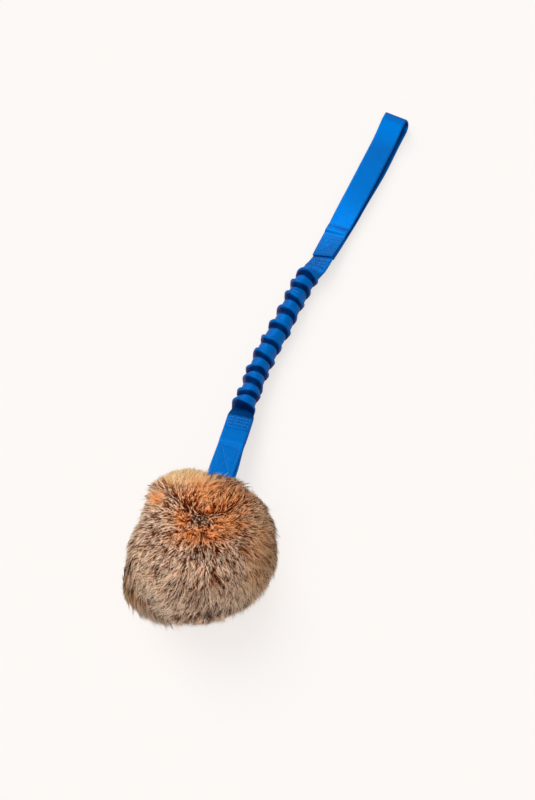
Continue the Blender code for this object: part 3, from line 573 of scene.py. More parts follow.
def stitchPiece(name, strokes, pointAt, lie, yarn=stitching):
    # strokes: pairs of (x, y); pointAt(x, y, lift) gives the place, lie the lift of the face
    spots, faces = [], []
    for (x0, y0), (x1, y1) in strokes:
        share = dashSpots[:, 2] + 0.5
        arch = 1 - (2 * share - 1) ** 2
        length = math.hypot(x1 - x0, y1 - y0)
        acrossX, acrossY = -(y1 - y0) / length, (x1 - x0) / length
        slim = yarn["thick"] * np.sqrt(0.35 + 0.65 * arch)
        middleX, middleY = x0 + (x1 - x0) * share, y0 + (y1 - y0) * share
        x, y = middleX + acrossX * dashSpots[:, 0] * slim, middleY + acrossY * dashSpots[:, 0] * slim
        lift = lie(middleX, middleY) + yarn["rise"] * arch - yarn["dip"] * (1 - arch) + dashSpots[:, 1] * slim
        base = len(spots) * len(dashSpots)
        spots.append(pointAt(x, y, lift))
        faces += [tuple(base + corner for corner in face) for face in dashFaces]
    mesh = bpy.data.meshes.new(name)
    mesh.from_pydata(np.vstack(spots).tolist(), [], faces)
    mesh.materials.append(plain["blueThread"])
    piece = bpy.data.objects.new(name, mesh)
    bpy.context.scene.collection.objects.link(piece)
    bpy.context.view_layer.objects.active = piece
    bpy.ops.object.select_all(action="DESELECT")
    piece.select_set(True)
    bpy.ops.object.mode_set(mode="EDIT")
    bpy.ops.mesh.select_all(action="SELECT")
    bpy.ops.mesh.normals_make_consistent(inside=False)
    bpy.ops.object.mode_set(mode="OBJECT")
    bpy.ops.object.shade_smooth()
    return piece


def dashedRow(corners):
    strokes = []
    halfGap = stitching["gap"] / stitching["pitch"] / 2
    for (x0, y0), (x1, y1) in zip(corners, corners[1:]):
        count = max(1, round(math.hypot(x1 - x0, y1 - y0) / stitching["pitch"]))
        for index in range(count):
            a, b = (index + halfGap) / count, (index + 1 - halfGap) / count
            strokes.append(((x0 + (x1 - x0) * a, y0 + (y1 - y0) * a),
                            (x0 + (x1 - x0) * b, y0 + (y1 - y0) * b)))
    return strokes


def crossedBox(shape):
    x0, x1, y = shape["boxStart"], shape["boxStart"] + shape["boxLength"], shape["boxWidth"] / 2
    inX0, inX1, inY = x0 + stitching["crossInset"], x1 - stitching["crossInset"], y - stitching["crossInset"]
    return (dashedRow([(x0, -y), (x1, -y), (x1, y), (x0, y), (x0, -y)])
            + dashedRow([(inX0, -inY), (inX1, inY)]) + dashedRow([(inX0, inY), (inX1, -inY)]))


def zigzagRow(x, half, swing):
    ys = np.linspace(-half, half, stitching["rowCount"] + 1)
    return [((x + swing * (-1) ** index, ys[index]), (x - swing * (-1) ** index, ys[index + 1]))
            for index in range(stitching["rowCount"])]


def puckered(strokes, topAbove):
    # the strip's upper face is drawn in on each stitch
    def sink(x, y, lift):
        near = np.zeros_like(x)
        for (x0, y0), (x1, y1) in strokes:
            apart = (x - (x0 + x1) / 2) ** 2 + (y - (y0 + y1) / 2) ** 2
            near = np.maximum(near, np.exp(-apart / stitching["puckerReach"] ** 2))
        return (lift > topAbove) * stitching["pucker"] * near

    return sink


# The ball's strap.

strapShape = {
    "inside": 0.0253,  # where the strip turns behind the rubber bridge
    "turnRadius": 0.0024,
    "slotOffset": 0.0070,  # layers' middles from the strap's middle plane in the slots
    "coreRadius": 0.0325,
    "spreadRun": 0.0160,
    "layerRise": 0.0070,
    "boxStart": 0.0860,
    "boxLength": 0.0340,
    "boxWidth": 0.0190,
    "row": 0.1235,
    "slip": 0.0020,  # how far the lower layer peeps out on the right near the ball
    "slipStart": 0.050,
    "slipGrow": 0.025,
    "slipEnd": 0.128,
    "slipFade": 0.035,
}
webbingStep = 0.0008


def strapPoint(x, y, height):
    # x along the strap from the core's centre, y across it, height above its middle plane
    x, y, height = (np.asarray(v, float) for v in (x, y, height))
    slipping = (ease((x - strapShape["slipStart"]) / strapShape["slipGrow"])
                * ease((strapShape["slipEnd"] - x) / strapShape["slipFade"]) * (height < 0))
    y = y - course(x - layout["strapReach"]) - strapShape["slip"] * slipping
    return np.stack(np.broadcast_arrays(x, y, height), -1) @ ballTurn.T + ballCentre


def strapLayer(x):
    spread = 1 - ease((x - strapShape["coreRadius"]) / strapShape["spreadRun"])
    lapStart = layout["strapReach"] - layout["lowerLap"] - layout["clearance"]
    opened = ease((x - lapStart + strapShape["layerRise"]) / strapShape["layerRise"])
    return (closedOffset + spread * (strapShape["slotOffset"] - closedOffset)
            + opened * (lapOffset - closedOffset))


def strapFace(x, y):
    return strapLayer(x) + halfWebbing


strapBox = crossedBox(strapShape)
strapRow = zigzagRow(strapShape["row"], stitching["rowHalf"], stitching["rowSwing"])
turnX = strapShape["inside"]
outX = np.linspace(layout["strapReach"], turnX, 150)
upperHalf = np.stack([outX, strapLayer(outX)], 1)
turnZ = strapShape["slotOffset"] - strapShape["turnRadius"]
angles = np.radians(np.linspace(11, 90, 8))
corner = np.stack([turnX - strapShape["turnRadius"] * np.sin(angles),
                   turnZ + strapShape["turnRadius"] * np.cos(angles)], 1)
half = np.vstack([upperHalf, corner])
strapMiddle = evened(np.vstack([half, half[::-1] * (1, -1)]), webbingStep)
ballStrap = webbingPiece("ballStrap", strapMiddle, strapPoint, webbing, puckered(strapBox + strapRow, 0))
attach(ballStrap, "ball")
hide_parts("ball_strap")
for name, strokes, node in (("strapBoxStitch", strapBox, "strap_box_stitch"),
                            ("strapRowStitch", strapRow, "strap_cross_stitch")):
    piece = stitchPiece(name, strokes, strapPoint, strapFace)
    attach(piece, "ball")
    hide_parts(node)
print("ball strap ready")

# The hand loop.

loopShape = {
    "crest": 0.0183,
    "skew": 0.0027,  # how far the lower layer lies to the right of the upper one at the far end
    "skewStart": 0.0700,
    "skewRun": 0.0700,
    "bendRadius": 0.0070,
    "boxStart": 0.0035,
    "boxLength": 0.0210,
    "boxWidth": 0.0190,
    "row": 0.0280,
    # the upper layer springs up past the lap, sags a little and climbs to the far bend: (along, height)
    "rises": [(0.0335, 0.0056), (0.0380, 0.0058), (0.0425, 0.0053), (0.0480, 0.0061), (0.0590, 0.0084),
              (0.0720, 0.0102), (0.0880, 0.0114), (0.1050, 0.0121), (0.1220, 0.0124), (0.1400, 0.0120),
              (0.1520, 0.0114), (0.1620, 0.0116), (0.1700, 0.0131), (0.1770, 0.0155)],
    "lowerSpots": 26,
}
lapped = [(along, 2 * lapOffset) for along in (0.0, 0.015, 0.0303)]
bendFoot = (layout["handleLength"] - 2 * loopShape["bendRadius"], loopShape["crest"])
loopTop = smoothLine(lapped + loopShape["rises"] + [bendFoot], webbingStep)
bendX = layout["handleLength"] - halfWebbing - loopShape["bendRadius"]
bend = []
for degrees in (75, 50, 25, 0, -25, -50, -75, -90):
    angle = math.radians(degrees)
    lifted = (loopShape["crest"] - 2 * loopShape["bendRadius"]) * max(0.0, math.sin(angle)) ** 2
    bend.append((bendX + loopShape["bendRadius"] * math.cos(angle),
                 loopShape["bendRadius"] * (1 + math.sin(angle)) + lifted))
lowerRun = [(along, 0.0) for along in np.linspace(bendX, 0.0, loopShape["lowerSpots"] + 1)[1:]]
farBend = smoothLine([loopTop[-1], *bend], webbingStep)
loopMiddle = evened(np.vstack([loopTop[:-1], farBend, lowerRun]), webbingStep)
loopMiddle[:, 1] = np.maximum(loopMiddle[:, 1], 0.0)


def loopPoint(x, y, lift):
    share = np.clip(lift / np.interp(x, loopTop[:, 0], loopTop[:, 1]), 0, 1)
    skewed = loopShape["skew"] * ease((x - loopShape["skewStart"]) / loopShape["skewRun"]) * (1 - share)
    return handlePoint(x, y - skewed, lift)


def loopFace(x, y):
    return np.interp(x, loopTop[:, 0], loopTop[:, 1]) + halfWebbing


loopBox = crossedBox(loopShape)
loopRow = zigzagRow(loopShape["row"], stitching["rowHalf"], stitching["rowSwing"])
handLoop = webbingPiece("handLoop", loopMiddle, loopPoint, webbing, puckered(loopBox + loopRow, lapOffset))
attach(handLoop, "handle")
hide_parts("handle_loop")
for name, strokes, node in (("loopBoxStitch", loopBox, "handle_box_stitch"),
                            ("loopRowStitch", loopRow, "handle_cross_stitch")):
    piece = stitchPiece(name, strokes, handlePoint, loopFace)
    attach(piece, "handle")
    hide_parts(node)
print("hand loop ready")

# The ruched sleeve and its elastic.

# each fold: distance past the strap's end (mm), height (mm), tilt (mm), turn of the tilt (degrees), length
folds = [
    (29.5, 2.2, 0.9, 40, 0.90), (44.6, 2.1, 1.6, 185, 1.05), (58.6, 2.3, 2.2, 15, 0.80),
    (73.4, 2.4, 2.2, 190, 0.90), (90.4, 2.3, 0.9, 30, 1.05), (109.2, 2.3, 1.6, 350, 1.10),
    (128.6, 2.4, 1.2, 20, 1.10), (147.4, 2.4, 1.4, 40, 1.05), (165.4, 2.3, 1.9, 350, 1.00),
    (181.6, 2.2, 1.2, 30, 0.95), (197.5, 2.4, 1.8, 175, 0.90),
]
# a fold's outline from the ball's side: a long face that rises to a rolled rim, then a steep back
# (mm along, share of the fold's height)
foldOutline = [
    (-7.6, 0.00), (-6.9, -0.06), (-6.2, -0.10), (-5.5, -0.02), (-4.8, 0.16), (-4.0, 0.36), (-3.1, 0.54),
    (-2.1, 0.69), (-1.1, 0.81), (-0.2, 0.93), (0.5, 1.03), (1.2, 1.08), (1.9, 1.05), (2.4, 0.93),
    (2.6, 0.72), (2.7, 0.46), (3.0, 0.20), (3.6, 0.02), (4.5, -0.03), (5.4, 0.0),
]
foldStart, foldEnd = foldOutline[0][0], foldOutline[-1][0]
sleeveShape = {
    "sides": 88,
    "flatWidth": 0.0260,
    "flatPower": 2.6,  # squareness of the flat ends' section; the tube's is 2, which is round
    "tube": 0.0098,
    "bore": 0.0050,
    # at each end: how much longer it stays flat in height than in width, and its run to full height
    "filling": ((0.0045, 0.0085), (0.0035, 0.0095)),
    "ringGap": 0.0009,
    "innerRingGap": 0.0030,
    "foldHeight": 3.9,  # mm, by which a fold's outline is spaced out
    "foldGap": 0.55,
    "slantIn": 3.6,  # mm over which a fold's slant comes and goes
    "slantOut": 2.8,
    "waver": (0.75, 0.45),  # mm, twice and three times round
    "hang": 2.6,  # mm by which the rims hang lower on the right
    "hangTurn": math.radians(192),
    "puckerRise": 0.00055,
    "puckerPitch": 0.0038,
    "puckerZone": (0.0035, 0.0185),
    "puckerCrest": 0.0079,
    "floorGap": 0.0002,
    # how dark the painted shade is in the tucks, in the hollows and under the first lip
    "tuckShade": 0.95,
    "hollowShade": 0.80,
    "lipShade": 0.85,
}
cordShape = {
    "radius": 0.0040,
    "flatWidth": 0.0130,
    "flatThickness": 0.0016,
    "end": 0.0025,
    "sides": 20,
    "ringGap": 0.0020,
    "mapWidth": 0.0250,
}
foldLine = smoothLine(np.array(foldOutline) * (1, sleeveShape["foldHeight"]), sleeveShape["foldGap"])
foldLine = foldLine / (1, sleeveShape["foldHeight"])


def roundness(s):
    return np.minimum(ease((s - layout["tackZone"]) / layout["funnel"]),
                      ease((tugLength - layout["tackZone"] - s) / layout["funnel"]))


def tallness(s):
    # fuller later than it widens, so that the first lip stands over a hollow
    (lowFlat, lowRun), (highFlat, highRun) = sleeveShape["filling"]
    return np.minimum(ease((s - layout["tackZone"] - lowFlat) / lowRun),
                      ease((tugLength - layout["tackZone"] - highFlat - s) / highRun))


def flatHeight(s, inner):
    intoLap = np.maximum(ease((cordShape["end"] - s) / cordShape["end"]),
                         ease((s - tugLength + cordShape["end"]) / cordShape["end"]))
    lapHalf = layout["clearance"] / 2
    tackHalf = cordShape["flatThickness"] / 2 + layout["clearance"]
    return tackHalf + (lapHalf - tackHalf) * intoLap + (0.0 if inner else layout["sleeveWall"])


def flatToRound(rounded, flat, full):
    return flat * (1 - rounded) + full * rounded


def sleeveOuter(fold, along, share, s, turn):
    # fold -1 is the plain tube; along (mm) and share are a fold's own outline
    table = np.array([*folds, (0, 0, 0, 0, 1)])[fold]
    height, tilt, phase, stretch = table[:, 1], table[:, 2], np.radians(table[:, 3]), table[:, 4]
    inFold = (fold >= 0) * ease((along - foldStart) / sleeveShape["slantIn"])
    inFold = inFold * ease((foldEnd - along) / sleeveShape["slantOut"])
    twice, thrice = sleeveShape["waver"]
    slant = tilt * np.cos(turn - phase)
    slant = slant + twice * np.sin(2 * turn + fold * 1.7) + thrice * np.sin(3 * turn + fold * 2.9)
    slant = slant - sleeveShape["hang"] * np.maximum(np.cos(turn - sleeveShape["hangTurn"]), 0.0) ** 1.5
    lean = along * (stretch - 1) * np.clip(share * 1.5, 0, 1)
    place = s + (slant * inFold + lean) / 1000
    rounded, tall = roundness(place), tallness(place)
    # no ruffle is even: its height, rim and tube waver round it
    radius = sleeveShape["tube"] + 0.0003 * np.sin(turn * 2 + s * 70) + 0.00016 * np.sin(turn * 5 - s * 160)
    uneven = (1.00 + 0.22 * np.cos(turn) + 0.08 * np.sin(2 * turn + fold * 2.3)
              + 0.06 * np.sin(3 * turn + fold) + 0.03 * np.sin(7 * turn + fold * 4))
    lift = height * uneven / 1000 * share
    lift = lift + 0.00018 * np.sin(turn * 9 + fold * 3 + along) * inFold * (1 - np.clip(share, 0, 1))
    lift = lift * np.clip(rounded * 1.25, 0, 1)
    wide = flatToRound(rounded, sleeveShape["flatWidth"] / 2, radius)
    high = flatToRound(tall, flatHeight(place, False), radius)
    # the rows of tacks draw the flat end into wavy ribs
    fromEnd = np.minimum(place, tugLength - place)
    zoneStart, zoneEnd = sleeveShape["puckerZone"]
    ribs = ease((fromEnd - zoneStart) / 0.002) * ease((zoneEnd - fromEnd) / 0.003)
    wave = np.cos(2 * np.pi * (fromEnd - sleeveShape["puckerCrest"]) / sleeveShape["puckerPitch"]
                  + 0.9 * np.sin(np.cos(turn) * 13 + 4 * np.sign(place - 0.1)))
    high = high + sleeveShape["puckerRise"] * ribs * wave
    power = flatToRound(rounded, sleeveShape["flatPower"], 2.0)
    return place, *superEllipse(wide + lift, high + lift, power, turn)


def sleeveInner(s, turn):
    rounded, tall = roundness(s), tallness(s)
    wide = flatToRound(rounded, sleeveShape["flatWidth"] / 2 - layout["sleeveWall"], sleeveShape["bore"])
    high = flatToRound(tall, flatHeight(s, True), sleeveShape["bore"])
    power = flatToRound(rounded, sleeveShape["flatPower"], 2.0)
    return superEllipse(wide, high, power, turn)


def outerRings(start, end):
    # rows of (fold, along in mm, share, place)
    rows, spot = [], start
    for index, fold in enumerate(folds):
        centre = fold[0] / 1000
        if not start < centre < end:
            continue
        first = centre + foldLine[0, 0] / 1000
        count = max(1, int((first - spot) / sleeveShape["ringGap"]))
        rows += [(-1, 0.0, 0.0, place) for place in np.linspace(spot, first, count, endpoint=False)]
        rows += [(index, along, share, centre + along / 1000) for along, share in foldLine]
        spot = centre + foldLine[-1, 0] / 1000 + 0.0002
    count = max(2, int((end - spot) / sleeveShape["ringGap"]))
    return np.array(rows + [(-1, 0.0, 0.0, place) for place in np.linspace(spot, end, count)])


def sleevePiece(name, start, end):
    outer = outerRings(start, end)
    innerCount = max(4, int((end - start) / sleeveShape["innerRingGap"]))
    inner = np.array([(-1, 0.0, 0.0, s) for s in np.linspace(end, start, innerCount)])
    rows = np.vstack([outer, inner, outer[:1]])
    isOuter = np.concatenate([np.ones(len(outer)), np.zeros(len(inner)), [1]]).astype(bool)
    steps = np.hypot(np.diff(rows[:, 3]), np.diff(rows[:, 2]) * sleeveShape["foldHeight"] / 1000)
    run = np.concatenate([[0.0], np.cumsum(steps)])

    def place(ring, around):
        turn = 2 * np.pi * around
        fold, along, share, s = rows[ring].T
        outS, outAcross, outUp = sleeveOuter(fold.astype(int), along, share, s, turn)
        inAcross, inUp = sleeveInner(s, turn)
        out = isOuter[ring]
        spots = tugPoint(np.where(out, outS, s), np.where(out, outAcross, inAcross),
                         np.where(out, outUp, inUp))
        spots[:, 2] = np.maximum(spots[:, 2], sleeveShape["floorGap"])  # the lips rest on the floor
        return spots

    def paintedShadeOf(ring, around):
        # painted shade, darkest in the tucks and in the hollow before the first and the last lip, and under
        # the first lip
        fold, along, share, s = rows[ring].T
        shadeInTuck = (fold >= 0) * ease((along + 7.1) / 1.1) * (1 - ease((share - 0.68) / 0.30)) * (along < 0.8)
        fromEnd = np.minimum(s, tugLength - s)
        shadeInHollow = ease((fromEnd - 0.0150) / 0.003) * ease((0.0285 - fromEnd) / 0.004) * (fold < 0) * (s < 0.1)
        shadeUnderLip = (fold == 0) * (along < -0.8) * (share < 0.5)
        shades = (sleeveShape["tuckShade"] * shadeInTuck, sleeveShape["hollowShade"] * shadeInHollow,
                  sleeveShape["lipShade"] * shadeUnderLip)
        return np.clip(np.max(shades, axis=0), 0, 1) * isOuter[ring]

    return gridPiece(name, len(rows), sleeveShape["sides"], place, run, 2 * sleeveShape["flatWidth"],
                     tubular, paintedShadeOf)


def cordPiece(name, start, end):
    body = np.linspace(start, end, max(4, int((end - start) / cordShape["ringGap"])))
    places = np.concatenate([body[:1], body, body[-1:]])

    def place(ring, share):
        s, turn = places[ring], 2 * np.pi * share
        full = ((ring > 0) & (ring < len(places) - 1)).astype(float)
        wide = flatToRound(roundness(s), cordShape["flatWidth"] / 2, cordShape["radius"])
        high = flatToRound(tallness(s), cordShape["flatThickness"] / 2, cordShape["radius"])
        return tugPoint(s, wide * np.cos(turn) * full, high * np.sin(turn) * full)

    return gridPiece(name, len(places), cordShape["sides"], place, places - start, cordShape["mapWidth"],
                     plain["paleElastic"])


# the sleeve is cut at valleys, so that each stretch crosses one joint
valleyLow = (folds[1][0] + folds[2][0]) / 2000
valleyHigh = (folds[-3][0] + folds[-2][0]) / 2000
tackLow, tackHigh = layout["tackZone"], tugLength - layout["tackZone"]
firstFold = folds[0][0] / 1000
# name, start, end, body before, body after, start and end of the bend
stretches = [
    ("LowerEnd", -layout["lowerLap"], tackLow, "ball", "lower_end", -0.0015, 0.0040),
    ("LowerBend", tackLow, valleyLow, "lower_end", "bungee", tackLow, 2 * firstFold - tackLow),
    ("Middle", valleyLow, valleyHigh, "bungee", "sleeve", valleyLow, valleyHigh),
    ("UpperTwist", valleyHigh, tackHigh, "sleeve", "upper_end", valleyHigh, tackHigh),
    ("UpperEnd", tackHigh, tugLength + layout["upperLap"] - 0.0004, "upper_end", "handle",
     tugLength - 0.0040, tugLength + 0.0015),
]
cordGap = cordShape["end"] + layout["clearance"]
for label, start, end, before, after, bendStart, bendEnd in stretches:
    piece = sleevePiece("sleeve" + label, start, end)
    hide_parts("bungee_sleeve")
    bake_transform(piece)
    cord = cordPiece("elastic" + label, max(start, cordGap), min(end, tugLength - cordGap))
    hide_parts("bungee_cord")
    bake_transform(cord)
print("sleeve and elastic ready")

# Bar tacks: the zigzag goes over the flat end and back underneath.

tacking = {
    "rows": (0.0136, 0.0098, 0.0060),  # from the stitched ends
    "half": 0.0112,
    "swing": 0.0009,
    "thick": 0.00038,
    "rise": 0.00030,
    "dip": 0.00035,
    "underside": 1.0,  # strokes this far aside (m) stand for the underside
}


def tackPoint(x, y, lift):
    below = y > tacking["underside"] / 2
    flatY = np.where(below, y - tacking["underside"], y)
    return tugPoint(x, flatY, np.where(below, -lift, lift))


def tackFace(x, y):
    flatY = np.where(y > tacking["underside"] / 2, y - tacking["underside"], y)
    sideways = np.abs(flatY / (sleeveShape["flatWidth"] / 2)) ** sleeveShape["flatPower"]
    return flatHeight(x, False) * np.maximum(0.0, 1 - sideways) ** (1 / sleeveShape["flatPower"])


def tackPiece(name, s, body, node):
    strokes = zigzagRow(s, tacking["half"], tacking["swing"])
    aside = tacking["underside"]
    strokes += [((x0, y0 + aside), (x1, y1 + aside)) for (x0, y0), (x1, y1) in strokes]
    piece = stitchPiece(name, strokes, tackPoint, tackFace, tacking)
    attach(piece, body)
    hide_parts(node)


for index, fromEnd in enumerate(tacking["rows"]):
    tackPiece(f"lowerTack{index + 1}", fromEnd, "lower_end", f"lower_bar_tack_{index + 1}")
    tackPiece(f"upperTack{index + 1}", tugLength - fromEnd, "upper_end", f"upper_bar_tack_{index + 1}")
print("bar tacks ready")

# Inner pieces of the ball keep their solids and get their finishes.

for node, finish in (("ball_core", "blackRubber"), ("hide_main", "rawSkin"), ("hide_side", "rawSkin"),
                     ("hide_seam_thread", "tanThread")):
    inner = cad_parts[node]
    inner.data.materials.clear()
    inner.data.materials.append(plain[finish])

# The fur.

fur = {
    "strands": 104000,
    "perPiece": 12000,
    "locks": 900,  # locks gather the tufts, tufts the fibres, fibres a few hairs each
    "tufts": 6800,
    "fibres": 46000,
    "lockPull": 0.14,
    "tuftPull": 0.12,
    "fibrePull": 0.88,
    "guardShare": 0.045,  # fine long hairs
    "crispShare": 0.090,  # stout pale hairs on top of the coat
    "paleShare": 0.28,
    "hairRadius": 0.00021,
    # against the other hairs' thickness and length
    "paleGirth": 1.22,
    "guardGirth": 0.60,
    "crispGirth": 1.65,
    "paleLength": 1.08,
    "darkLength": 0.84,
    "guardLength": (1.12, 1.5),
    "crispLength": 1.10,
    "length": 0.0240,
    "tilt": 20,  # of the hairs at the parting, in degrees
    "tiltGrow": 36,  # and how much more far from it
    "tiltParting": 8,
    "fall": 0.30,  # how strongly the coat falls, sweeps about and is combed to the left
    "sweep": 0.30,
    "leftward": 0.75,
    "depth": 0.755,  # the underfur's face, as a share of the reach
    "reachBack": 0.0655,
    "reachFront": 0.0760,
    "reachSide": 0.0635,
    "reachUp": 0.0610,
    "strapRoom": (0.0132, 0.0045),  # half width and half height kept free of roots
    "lean": 7,  # degrees by which locks, tufts and hairs lean apart
    "lockSwing": 12,
    "tuftSwing": 11,
    "hairSwing": 13,
    "guardRise": 14,  # degrees by which these hairs stand up more
    "crispRise": 7,
    "paleRise": 5,
    "paleLean": 13,  # pale fibres cross each other above the groomed dark ones
    "paleSwing": 32,
    "darkSwing": 15,
    "seed": 7,
}
# directions of the usual view from above, by which the coat's marks are placed
viewRight = np.array((0.3665, -0.9304, 0.0))
viewUp = np.array((0.8362, 0.3294, 0.4384))
viewNear = np.array((-0.4079, -0.1607, 0.8988))
# lobes of the outline: angle from the view's right, millimetres, half width and lean to the eye in degrees
lobes = [
    (120, 9, 13, 0), (98, 2, 8, 0), (80, -9, 9, 0), (67, -12, 10, 0), (47, -2, 10, 0), (33, 3, 10, 0),
    (228, 6, 12, 0), (207, 12, 18, 0), (198, 4, 12, 0), (246, -5, 8, 0), (140, -5, 12, 0), (318, -6, 16, 0),
    (282, -5, 13, 0), (356, 4, 9, 0), (76, -9, 12, 16), (292, -10, 12, 15), (305, -10, 11, 20),
    (90, -8, 8, -10),
]
# marks: centre right and up in the view, radii (mm), turn (degrees), strength
# the last rust mark, on the right side, is partly a redder coat and partly painted light that brightens the
# side the lamps leave darker
rustMarks = [
    (14, 50, 33, 16, -8, 1.3), (-14, 34, 9, 10, 0, 1.2), (5, 20, 31, 9, 4, 1.2), (27, 30, 17, 15, 0, 1.2),
    (40, 41, 11, 11, 0, 0.8), (-38, 49, 8, 6, 0, 1.1), (52, 5, 15, 34, 0, 0.50),
]
# straw patches of the coat; along the top rim they also paint the glow of light through the hairs, and the
# last one, on the right side, is partly painted light that brightens the side the lamps leave darker
strawMarks = [
    (-14, 72, 40, 13, -8, 1.1), (48, -24, 9, 14, -15, 0.60), (-54, 2, 9, 30, 8, 0.25),
    (-40, 50, 10, 13, 0, 0.6), (24, 68, 20, 6, -14, 0.9), (-66, -38, 13, 17, 0, 0.45),
    (56, 8, 13, 44, 0, 0.6),
]
# dark patches of the coat; in the pit at the crown and the cleft at the bottom they are partly painted shade
darkMarks = [
    (1, 35, 11, 7.5, 0, 1.0), (17, 38, 7, 7, 0, 0.8), (-21, 50, 13, 5, -10, 0.85), (-1, 4, 26, 7, -6, 0.6),
    (-32, 19, 8, 8, 0, 0.6), (45, 21, 7, 4, 0, 0.5), (12, -50, 15, 4, 16, 1.0), (64, 32, 4, 4, 0, 0.25),
    (-8, -33, 9, 6, 20, 0.45),
]
# the hair parts along this line over the crown: right and up in the view (mm)
partingLine = [(-27, 51), (-12, 41), (1, 35), (10, 36), (19, 38)]

rng = np.random.default_rng(fur["seed"])


def unit(v):
    return v / np.maximum(np.linalg.norm(v, axis=-1, keepdims=True), 1e-12)


def viewDirection(right, up, radius=54):
    near = math.sqrt(max(radius**2 - right**2 - up**2, 1.0))
    return unit(viewRight * right + viewUp * up + viewNear * near)


partingSpots = smoothLine(np.array([viewDirection(right, up) for right, up in partingLine]), 0.03)
partingSpots = unit(partingSpots)


def waves(points, scale, count, seed):
    # smooth random field from -1 to 1, as a sum of plane waves
    local = np.random.default_rng(seed)
    total = np.zeros(len(points))
    for _ in range(count):
        direction = unit(local.normal(size=3))
        total += np.sin(points @ direction * scale * local.uniform(0.6, 1.5) + local.uniform(0, 2 * math.pi))
    return total / math.sqrt(count)


def furReach(direction):
    local = direction @ strapTurn
    reachX = np.where(local[:, 0] > 0, fur["reachFront"], fur["reachBack"])
    scale = np.stack([reachX, np.full(len(local), fur["reachSide"]), np.full(len(local), fur["reachUp"])], 1)
    reach = 1 / np.linalg.norm(local / scale, axis=1)
    for angle, amount, width, nearness in lobes:
        a, b = math.radians(angle), math.radians(nearness)
        lobe = (viewRight * math.cos(a) + viewUp * math.sin(a)) * math.cos(b) + viewNear * math.sin(b)
        apart = np.degrees(np.arccos(np.clip(direction @ lobe, -1, 1)))
        reach += amount / 1000 * np.exp(-((apart / width) ** 2))
    return reach * (1 + 0.020 * waves(direction, 5.0, 6, 3) + 0.016 * waves(direction, 15.0, 8, 4))


def markAmount(marks, spots):
    right, up = (spots - ballCentre) @ viewRight * 1000, (spots - ballCentre) @ viewUp * 1000
    facing = ease(((spots - ballCentre) @ viewNear) / 0.02 + 1.5)
    total = np.zeros(len(spots))
    for x, y, wide, high, turn, strength in marks:
        c, q = math.cos(math.radians(turn)), math.sin(math.radians(turn))
        across, above = (right - x) * c + (up - y) * q, (up - y) * c - (right - x) * q
        total = np.maximum(total, strength * np.exp(-((across / wide) ** 2 + (above / high) ** 2) ** 1.4))
    return total * facing


def fibonacciSphere(count):
    index = np.arange(count) + 0.5
    z = 1 - 2 * index / count
    turn = math.pi * (1 + 5**0.5) * index
    flat = np.sqrt(1 - z * z)
    return np.stack([flat * np.cos(turn), flat * np.sin(turn), z], 1)


def partingGap(direction):
    # nearest spot of the parting line, and how far it is in degrees
    closeness = direction @ partingSpots.T
    best = closeness.argmax(1)
    return partingSpots[best], np.degrees(np.arccos(np.clip(closeness[np.arange(len(best)), best], -1, 1)))


def flow(direction):
    # away from the parting, then more and more with gravity
    nearestSpot, _ = partingGap(direction)
    away = direction - nearestSpot
    away -= direction * (away * direction).sum(1, keepdims=True)
    down = np.array((0.0, 0.0, -1.0)) - direction * (-direction[:, 2:3])
    sweep = np.stack([waves(direction, 4.5, 4, seed) for seed in (11, 12, 13)], 1)
    right, up = direction @ viewRight, direction @ viewUp
    leftward = ease((0.45 - right) / 0.6) * ease((0.25 - up) / 0.5)  # the lower left is combed to the left
    field = unit(away) + fur["fall"] * down + fur["sweep"] * sweep
    field -= fur["leftward"] * leftward[:, None] * viewRight
    field -= direction * (field * direction).sum(1, keepdims=True)
    return unit(field)


def hairPath(direction, lengthScale, lean, swing, t):
    # points at shares t along hairs; lean and swing turn each one a little (degrees)
    _, gap = partingGap(direction)
    tilt = fur["tilt"] + fur["tiltGrow"] * ease(gap / 75) + fur["tiltParting"] * np.exp(-((gap / 6) ** 2))
    tilt = np.radians(np.clip(tilt + lean, 4, 78))
    length = fur["length"] * lengthScale * (0.80 + 0.25 * ease(gap / 60))
    root = ballCentre + direction * (furReach(direction) - length * np.cos(tilt) * 0.80)[:, None]
    along = flow(direction)
    aside = np.cross(direction, along)
    turn = np.radians(swing)[:, None]
    along = along * np.cos(turn) + aside * np.sin(turn)
    points = []
    for share in t:
        out = np.cos(tilt) * (share - 0.18 * share**2)
        over = np.sin(tilt) * (0.70 * share + 0.38 * share**2)
        points.append(root + (direction * out[:, None] + along * over[:, None]) * length[:, None])
    return np.stack(points, 1)


def nearestOf(centres, directions):
    tree = kdtree.KDTree(len(centres))
    for index, direction in enumerate(centres):
        tree.insert(direction, index)
    tree.balance()
    return np.array([tree.find(direction)[1] for direction in directions])


shares = np.array((0.0, 0.42, 0.78, 1.0))
directions = unit(fibonacciSphere(fur["strands"]) + rng.normal(scale=0.006, size=(fur["strands"], 3)))
# thinner underneath
directions = directions[(directions[:, 2] > -0.55) | (rng.random(len(directions)) < 0.6)]
strapLocal = (directions * 0.050) @ ballTurn
atStrap = ((strapLocal[:, 0] > 0) & (np.abs(strapLocal[:, 1]) < fur["strapRoom"][0])
           & (np.abs(strapLocal[:, 2]) < fur["strapRoom"][1]))
directions = directions[~atStrap]
hairCount = len(directions)

